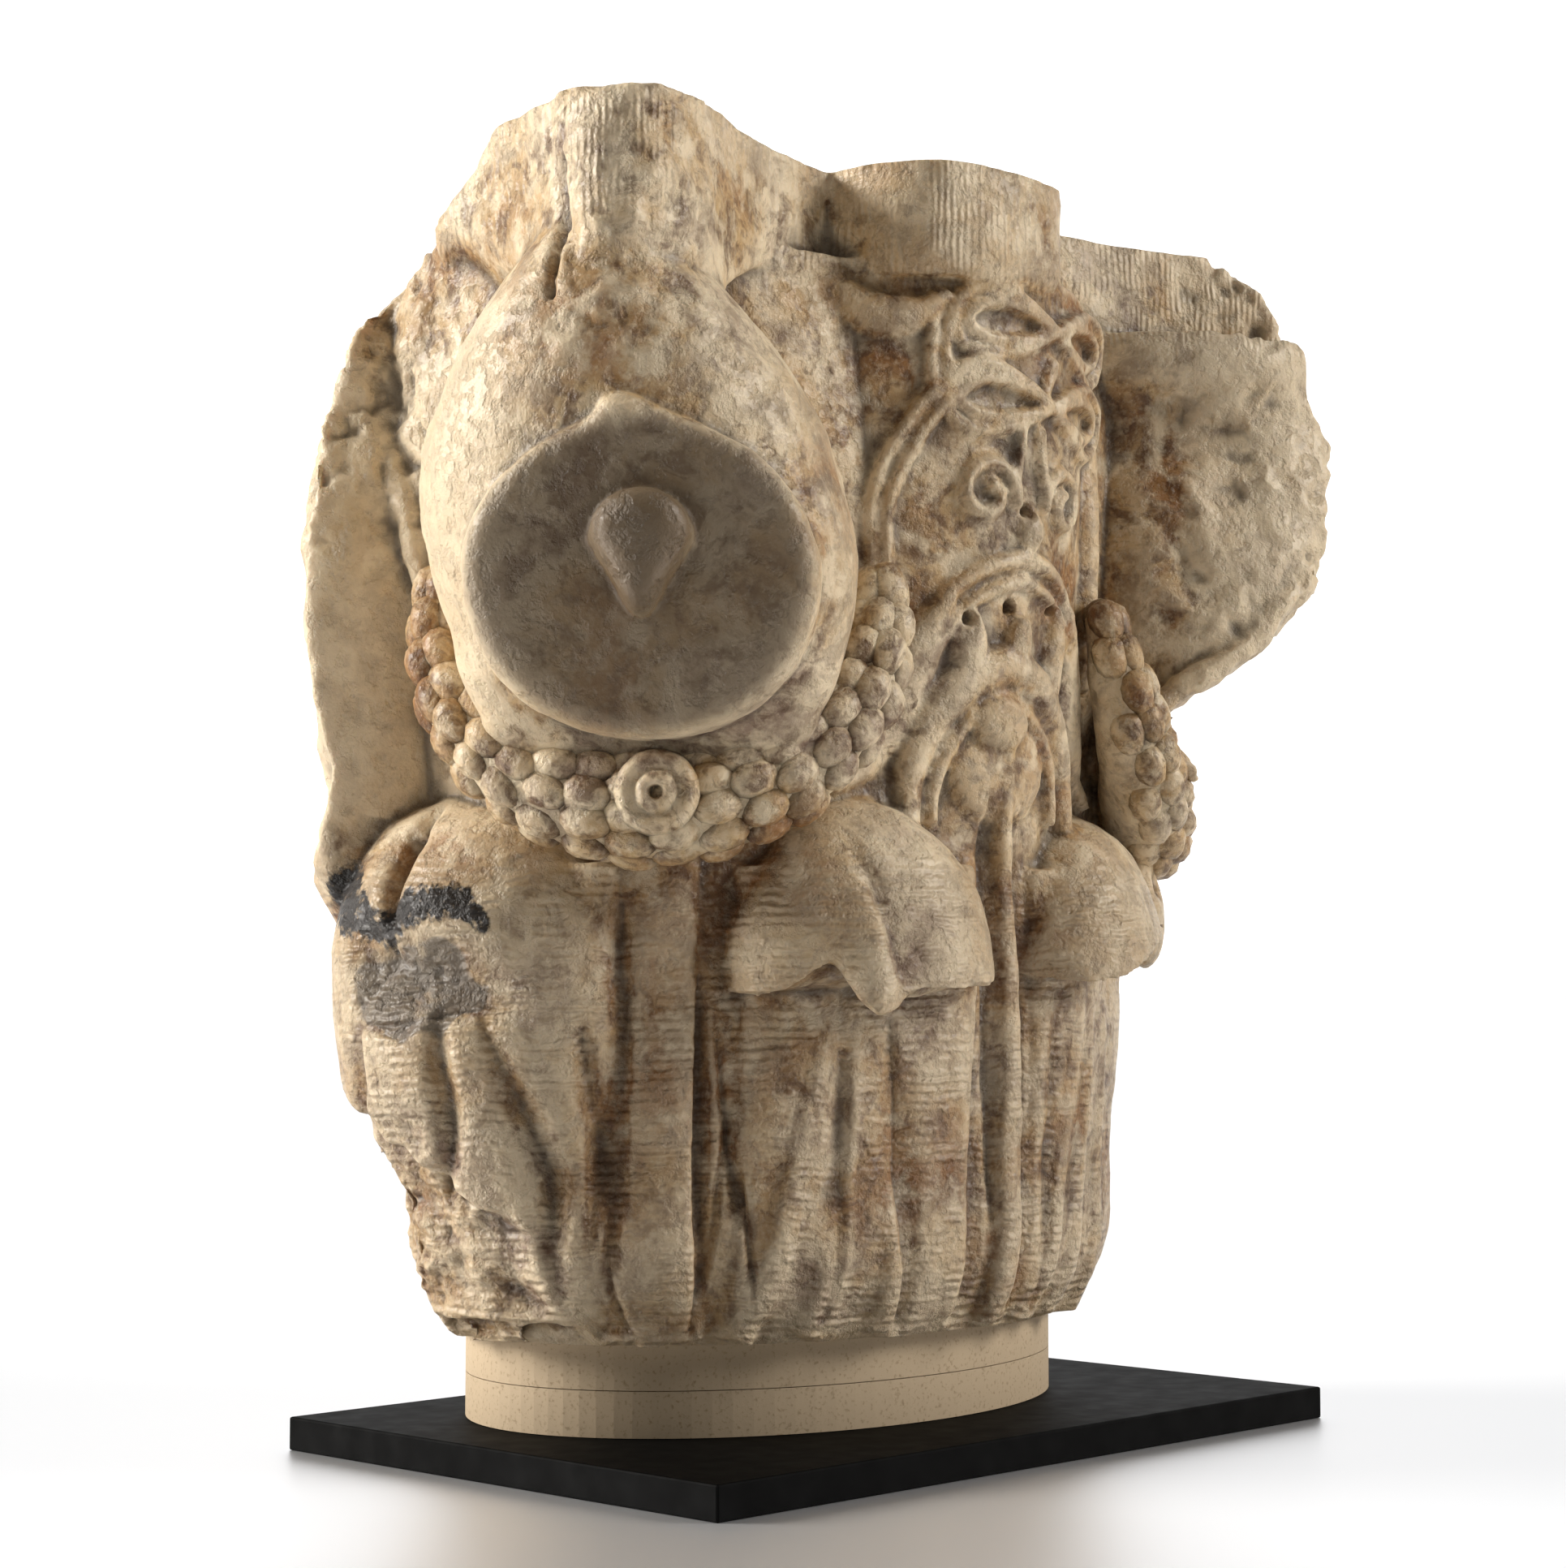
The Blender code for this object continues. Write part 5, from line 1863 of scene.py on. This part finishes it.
    def torn(
        self, tree: bpy.types.NodeTree, place: bpy.types.NodeSocket, name: str, size: float
    ) -> bpy.types.NodeSocket:
        """The mesh's value under a name, torn to patches with firm edges.

        Args:
            tree: The material's tree.
            place: Object coordinates.
            name: The value's name.
            size: The patches' size.

        Returns:
            The value socket.
        """
        patch = {0: self.noise(tree, place, size, 5.0)[0], 1: 1.5, 2: -0.75}
        patch = add_node(tree, "ShaderNodeMath", {"operation": "MULTIPLY_ADD"}, patch)
        total = {0: patch.outputs[0], 1: self.attribute(tree, name)}
        total = add_node(tree, "ShaderNodeMath", {"operation": "ADD"}, total)
        total = {0: total.outputs[0], 1: 0.6, 2: 0.85}
        return add_node(tree, "ShaderNodeMapRange", {}, total).outputs[0]

    def attribute(self, tree: bpy.types.NodeTree, name: str) -> bpy.types.NodeSocket:
        """The value that the mesh holds under a name."""
        return add_node(tree, "ShaderNodeAttribute", {"attribute_name": name}, {}).outputs["Fac"]

    def relief(
        self, tree: bpy.types.NodeTree, place: bpy.types.NodeSocket
    ) -> bpy.types.NodeSocket:
        """Furrows as the chisel's teeth leave them, then pits, then crystal grain, as bump.

        The furrows run level on the lower part and upright on the slab's edge, in patches.

        Args:
            tree: The material's tree.
            place: Object coordinates.

        Returns:
            The normal socket.
        """
        parts = add_node(tree, "ShaderNodeSeparateXYZ", {}, {0: place})
        bend = {0: self.noise(tree, place, 14 * MM, 3.0)[0], 1: 9.0}
        bend = add_node(tree, "ShaderNodeMath", {"operation": "MULTIPLY"}, bend)
        patch = {0: self.noise(tree, place, 12 * MM, 3.0)[0], 1: 0.42, 2: 0.58}
        patch = add_node(tree, "ShaderNodeMapRange", {}, patch)
        along = {0: parts.outputs[0], 1: parts.outputs[1]}
        along = add_node(tree, "ShaderNodeMath", {"operation": "SUBTRACT"}, along)
        furrows = 0.0
        for way, name in ((parts.outputs[2], "claw"), (along.outputs[0], "slab")):
            turns = {0: way, 1: 2 * np.pi / self.furrow, 2: bend.outputs[0]}
            turns = add_node(tree, "ShaderNodeMath", {"operation": "MULTIPLY_ADD"}, turns)
            wave = add_node(tree, "ShaderNodeMath", {"operation": "SINE"}, {0: turns.outputs[0]})
            share = {0: patch.outputs[0], 1: self.attribute(tree, name)}
            share = add_node(tree, "ShaderNodeMath", {"operation": "MULTIPLY"}, share)
            wave = {0: wave.outputs[0], 1: share.outputs[0], 2: furrows}
            wave = add_node(tree, "ShaderNodeMath", {"operation": "MULTIPLY_ADD"}, wave)
            furrows = wave.outputs[0]
        pits = {0: self.noise(tree, place, 6 * MM, 6.0)[0], 1: 0.34, 2: 0.5}
        pits = add_node(tree, "ShaderNodeMapRange", {}, pits).outputs[0]
        grain = self.noise(tree, place, self.crystal, 3.0)[0]
        normal = {}
        for height, (strength, distance) in zip((furrows, pits, grain), self.bumps):
            inputs = {"Strength": strength, "Distance": distance, "Height": height, **normal}
            normal = {"Normal": add_node(tree, "ShaderNodeBump", {}, inputs).outputs[0]}
        return normal["Normal"]


@dataclass(frozen=True)
class PaintedBoard:
    """Matt stone-coloured paint with fine darker specks: a quiet, even band under the marble."""

    colour: str = "bda88a"
    speck: str = "8d7757"
    specks_to_a_metre: float = 700.0
    roughness: float = 0.75

    def make(self) -> bpy.types.Material:
        """The material.

        Returns:
            A new material that reads Object coordinates.
        """
        made, tree, shader = new_material("matt_speckled_paint")
        fine = {"Vector": object_place(tree), "Scale": self.specks_to_a_metre, "Detail": 4.0}
        fine = add_node(tree, "ShaderNodeTexNoise", {}, fine).outputs[0]
        share = {0: fine, 1: 0.56, 2: 0.72, 3: 0.0, 4: 0.7}
        share = add_node(tree, "ShaderNodeMapRange", {}, share).outputs[0]
        mixed = {0: share, 6: linear(self.colour), 7: linear(self.speck)}
        mixed = add_node(tree, "ShaderNodeMix", {"data_type": "RGBA"}, mixed).outputs[2]
        bump = {"Strength": 0.3, "Distance": 0.2 * MM, "Height": fine}
        bump = add_node(tree, "ShaderNodeBump", {}, bump).outputs[0]
        feed(tree, shader, {"Base Color": mixed, "Normal": bump, "Roughness": self.roughness})
        return made


@dataclass(frozen=True)
class BlackPaint:
    """Satin black paint on a flat plate: near black, with faint dust in its gloss."""

    colour: str = "030303"
    dust_to_a_metre: float = 90.0
    specular: float = 0.05

    def make(self) -> bpy.types.Material:
        """The material.

        Returns:
            A new material that reads Object coordinates.
        """
        made, tree, shader = new_material("satin_black_paint")
        dust = {"Vector": object_place(tree), "Scale": self.dust_to_a_metre, "Detail": 6.0}
        dust = add_node(tree, "ShaderNodeTexNoise", {}, dust).outputs[0]
        gloss = add_node(tree, "ShaderNodeMapRange", {}, {0: dust, 1: 0.3, 2: 0.7, 3: 0.6, 4: 0.7})
        inputs = {"Base Color": linear(self.colour), "Roughness": gloss.outputs[0]}
        feed(tree, shader, {**inputs, "Specular IOR Level": self.specular})
        return made


def placed(right: np.ndarray, up: np.ndarray, back: np.ndarray, at: tuple) -> Matrix:
    """The matrix of a thing whose own three axes look these ways, at a place."""
    rows = [[right[i], up[i], back[i], at[i]] for i in range(3)]
    return Matrix([*rows, [0, 0, 0, 1]])


@dataclass(frozen=True)
class Studio:
    """The floor, the lights and the camera, placed as the photograph was taken."""

    camera_place: tuple = (-853.2 * MM, -805.5 * MM, 167.7 * MM)
    camera_bearing: float = 45.9
    camera_rise: float = 3.756
    focal_pixels: float = 3800.0
    image_side: float = 1932.0
    sensor: float = 36.0
    lamps: tuple = (
        ("key", (-0.92, -0.02, 0.40), 24.0, 4.6, "fffbf5"),
        ("fill", (0.88, 0.06, 0.46), 24.0, 2.3, "fffbf6"),
    )
    floor_half: float = 60.0
    floor_colour: str = "f8f9fb"
    floor_sheen: float = 0.85
    floor_roughness: float = 0.42
    wall: tuple = (0.68, 0.86, 0.04, 1.38)
    ceiling: tuple = (0.35, 0.9, 0.0, 0.2)

    def seen(self, right: float, near: float, up: float) -> np.ndarray:
        """The direction that lies so far right, near and up as the camera sees it.

        Args:
            right: How far right.
            near: How far near.
            up: How far up.

        Returns:
            The direction, in the frame.
        """
        bearing = np.radians(self.camera_bearing)
        ahead = np.array([np.sin(bearing), np.cos(bearing), 0.0])
        return right * np.array([ahead[1], -ahead[0], 0.0]) - near * ahead + up * UP

    def camera(self) -> None:
        """Set the camera at the photograph's viewing angle."""
        rise = np.radians(self.camera_rise)
        ahead, right = self.seen(0, -1, 0), self.seen(1, 0, 0)
        forward = ahead * np.cos(rise) + UP * np.sin(rise)
        up = -ahead * np.sin(rise) + UP * np.cos(rise)
        lens = bpy.data.cameras.new("camera")
        lens.sensor_width = self.sensor
        lens.lens = self.focal_pixels / self.image_side * self.sensor
        thing = add_object("camera", lens)
        thing.matrix_world = placed(right, up, -forward, self.camera_place)
        bpy.context.scene.camera = thing

    def light(self, name: str, seen: tuple, softness: float, strength: float, code: str) -> None:
        """Add one far, soft light.

        Args:
            name: Its name.
            seen: How far right, near and up it stands as the camera sees it.
            softness: The angle that it covers as seen from the object, in degrees.
            strength: Its strength.
            code: Its colour in hex.
        """
        lamp = bpy.data.lights.new(name, "SUN")
        lamp.angle = np.radians(softness)
        lamp.energy = strength
        lamp.color = linear(code)[:3]
        away = unit(self.seen(*seen))
        right = unit(np.cross(UP, away))
        thing = add_object(name, lamp)
        thing.matrix_world = placed(right, np.cross(away, right), away, away * 3)

    def floor(self) -> None:
        """A wide pale floor with a sheen, so that it shows the white wall behind the object."""
        half = self.floor_half
        corners = [(-half, -half, 0), (half, -half, 0), (half, half, 0), (-half, half, 0)]
        mesh = bpy.data.meshes.new("floor")
        mesh.from_pydata(corners, [], [(0, 1, 2, 3)])
        made, tree, shader = new_material("pale_floor")
        inputs = {"Base Color": linear(self.floor_colour), "Metallic": self.floor_sheen}
        feed(tree, shader, {**inputs, "Roughness": self.floor_roughness})
        mesh.materials.append(made)
        add_object("floor", mesh)

    def build(self) -> None:
        """Place floor, camera, lights and surroundings."""
        self.floor()
        self.camera()
        for lamp in self.lamps:
            self.light(*lamp)
        self.surroundings()
        bpy.context.scene.view_settings.view_transform = "Standard"
        log.info("studio has %d lights", len(self.lamps))

    def surroundings(self) -> None:
        """A white wall of light behind the object, a soft ceiling, and a dim room at the camera.

        The wall's brightness goes by how much a direction points ahead, and the ceiling's by how
        much it points up: from, to, least and most.
        """
        world = bpy.data.worlds.new("studio")
        bpy.context.scene.world = world
        world.use_nodes = True
        tree = world.node_tree
        place = add_node(tree, "ShaderNodeTexCoord", {}, {}).outputs["Generated"]
        along = {0: place, 1: self.seen(0, -1, 0).tolist()}
        along = add_node(tree, "ShaderNodeVectorMath", {"operation": "DOT_PRODUCT"}, along)
        rise = add_node(tree, "ShaderNodeSeparateXYZ", {}, {0: place}).outputs[2]
        both = {}
        for at, value, span in ((0, along.outputs["Value"], self.wall), (1, rise, self.ceiling)):
            inputs = {0: value, **dict(enumerate(span, 1))}
            both[at] = add_node(tree, "ShaderNodeMapRange", {}, inputs).outputs[0]
        both = add_node(tree, "ShaderNodeMath", {"operation": "MAXIMUM"}, both)
        feed(tree, tree.nodes["Background"], {0: linear("ffffff"), 1: both.outputs[0]})


@dataclass(frozen=True)
class Mount:
    """The collar's two boards and the plate, whose solids have their true shape."""

    boards: tuple = ("collar_upper", "collar_lower")
    plate: str = "base_plate"

    def build(self) -> None:
        """Give each its finish."""
        paint = PaintedBoard().make()
        for name in self.boards:
            self.dress(name, paint)
        self.dress(self.plate, BlackPaint().make())

    def dress(self, name: str, finish: bpy.types.Material) -> None:
        """Put a finish on a solid of the frame.

        Args:
            name: The solid's node.
            finish: The finish.
        """
        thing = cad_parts[name]
        thing.data.materials.clear()
        thing.data.materials.append(finish)
        log.info("%s dressed in %s", name, finish.name)


def stone_frame() -> tuple:
    """The middle of the stone's bed and the size of one carving unit, from the frame.

    Returns:
        The bed's middle in metres, and metres to a unit.
    """
    low, high = (np.array(corner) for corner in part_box("capital"))
    board_low, board_high = (np.array(corner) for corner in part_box("collar_upper"))
    middle = (board_low + board_high) / 2
    return np.array([middle[0], middle[1], low[2]]), (high[2] - low[2]) / CARVING_UNITS


def main() -> None:
    """Build the stone, dress its mount and set up the studio."""
    bed, size = stone_frame()
    marble = WeatheredMarble().make()
    stone = Stone(bed=bed, size=size).build()
    festoons = Festoons(bed=bed, size=size).build()
    for piece in (stone, festoons):
        piece.data.materials.append(marble)
        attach(piece, "root")
        piece.data.calc_loop_triangles()
        log.info("%s has %d triangles", piece.name, len(piece.data.loop_triangles))
    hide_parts("capital")
    Mount().build()
    Studio().build()


if __name__ == "__main__":
    main()
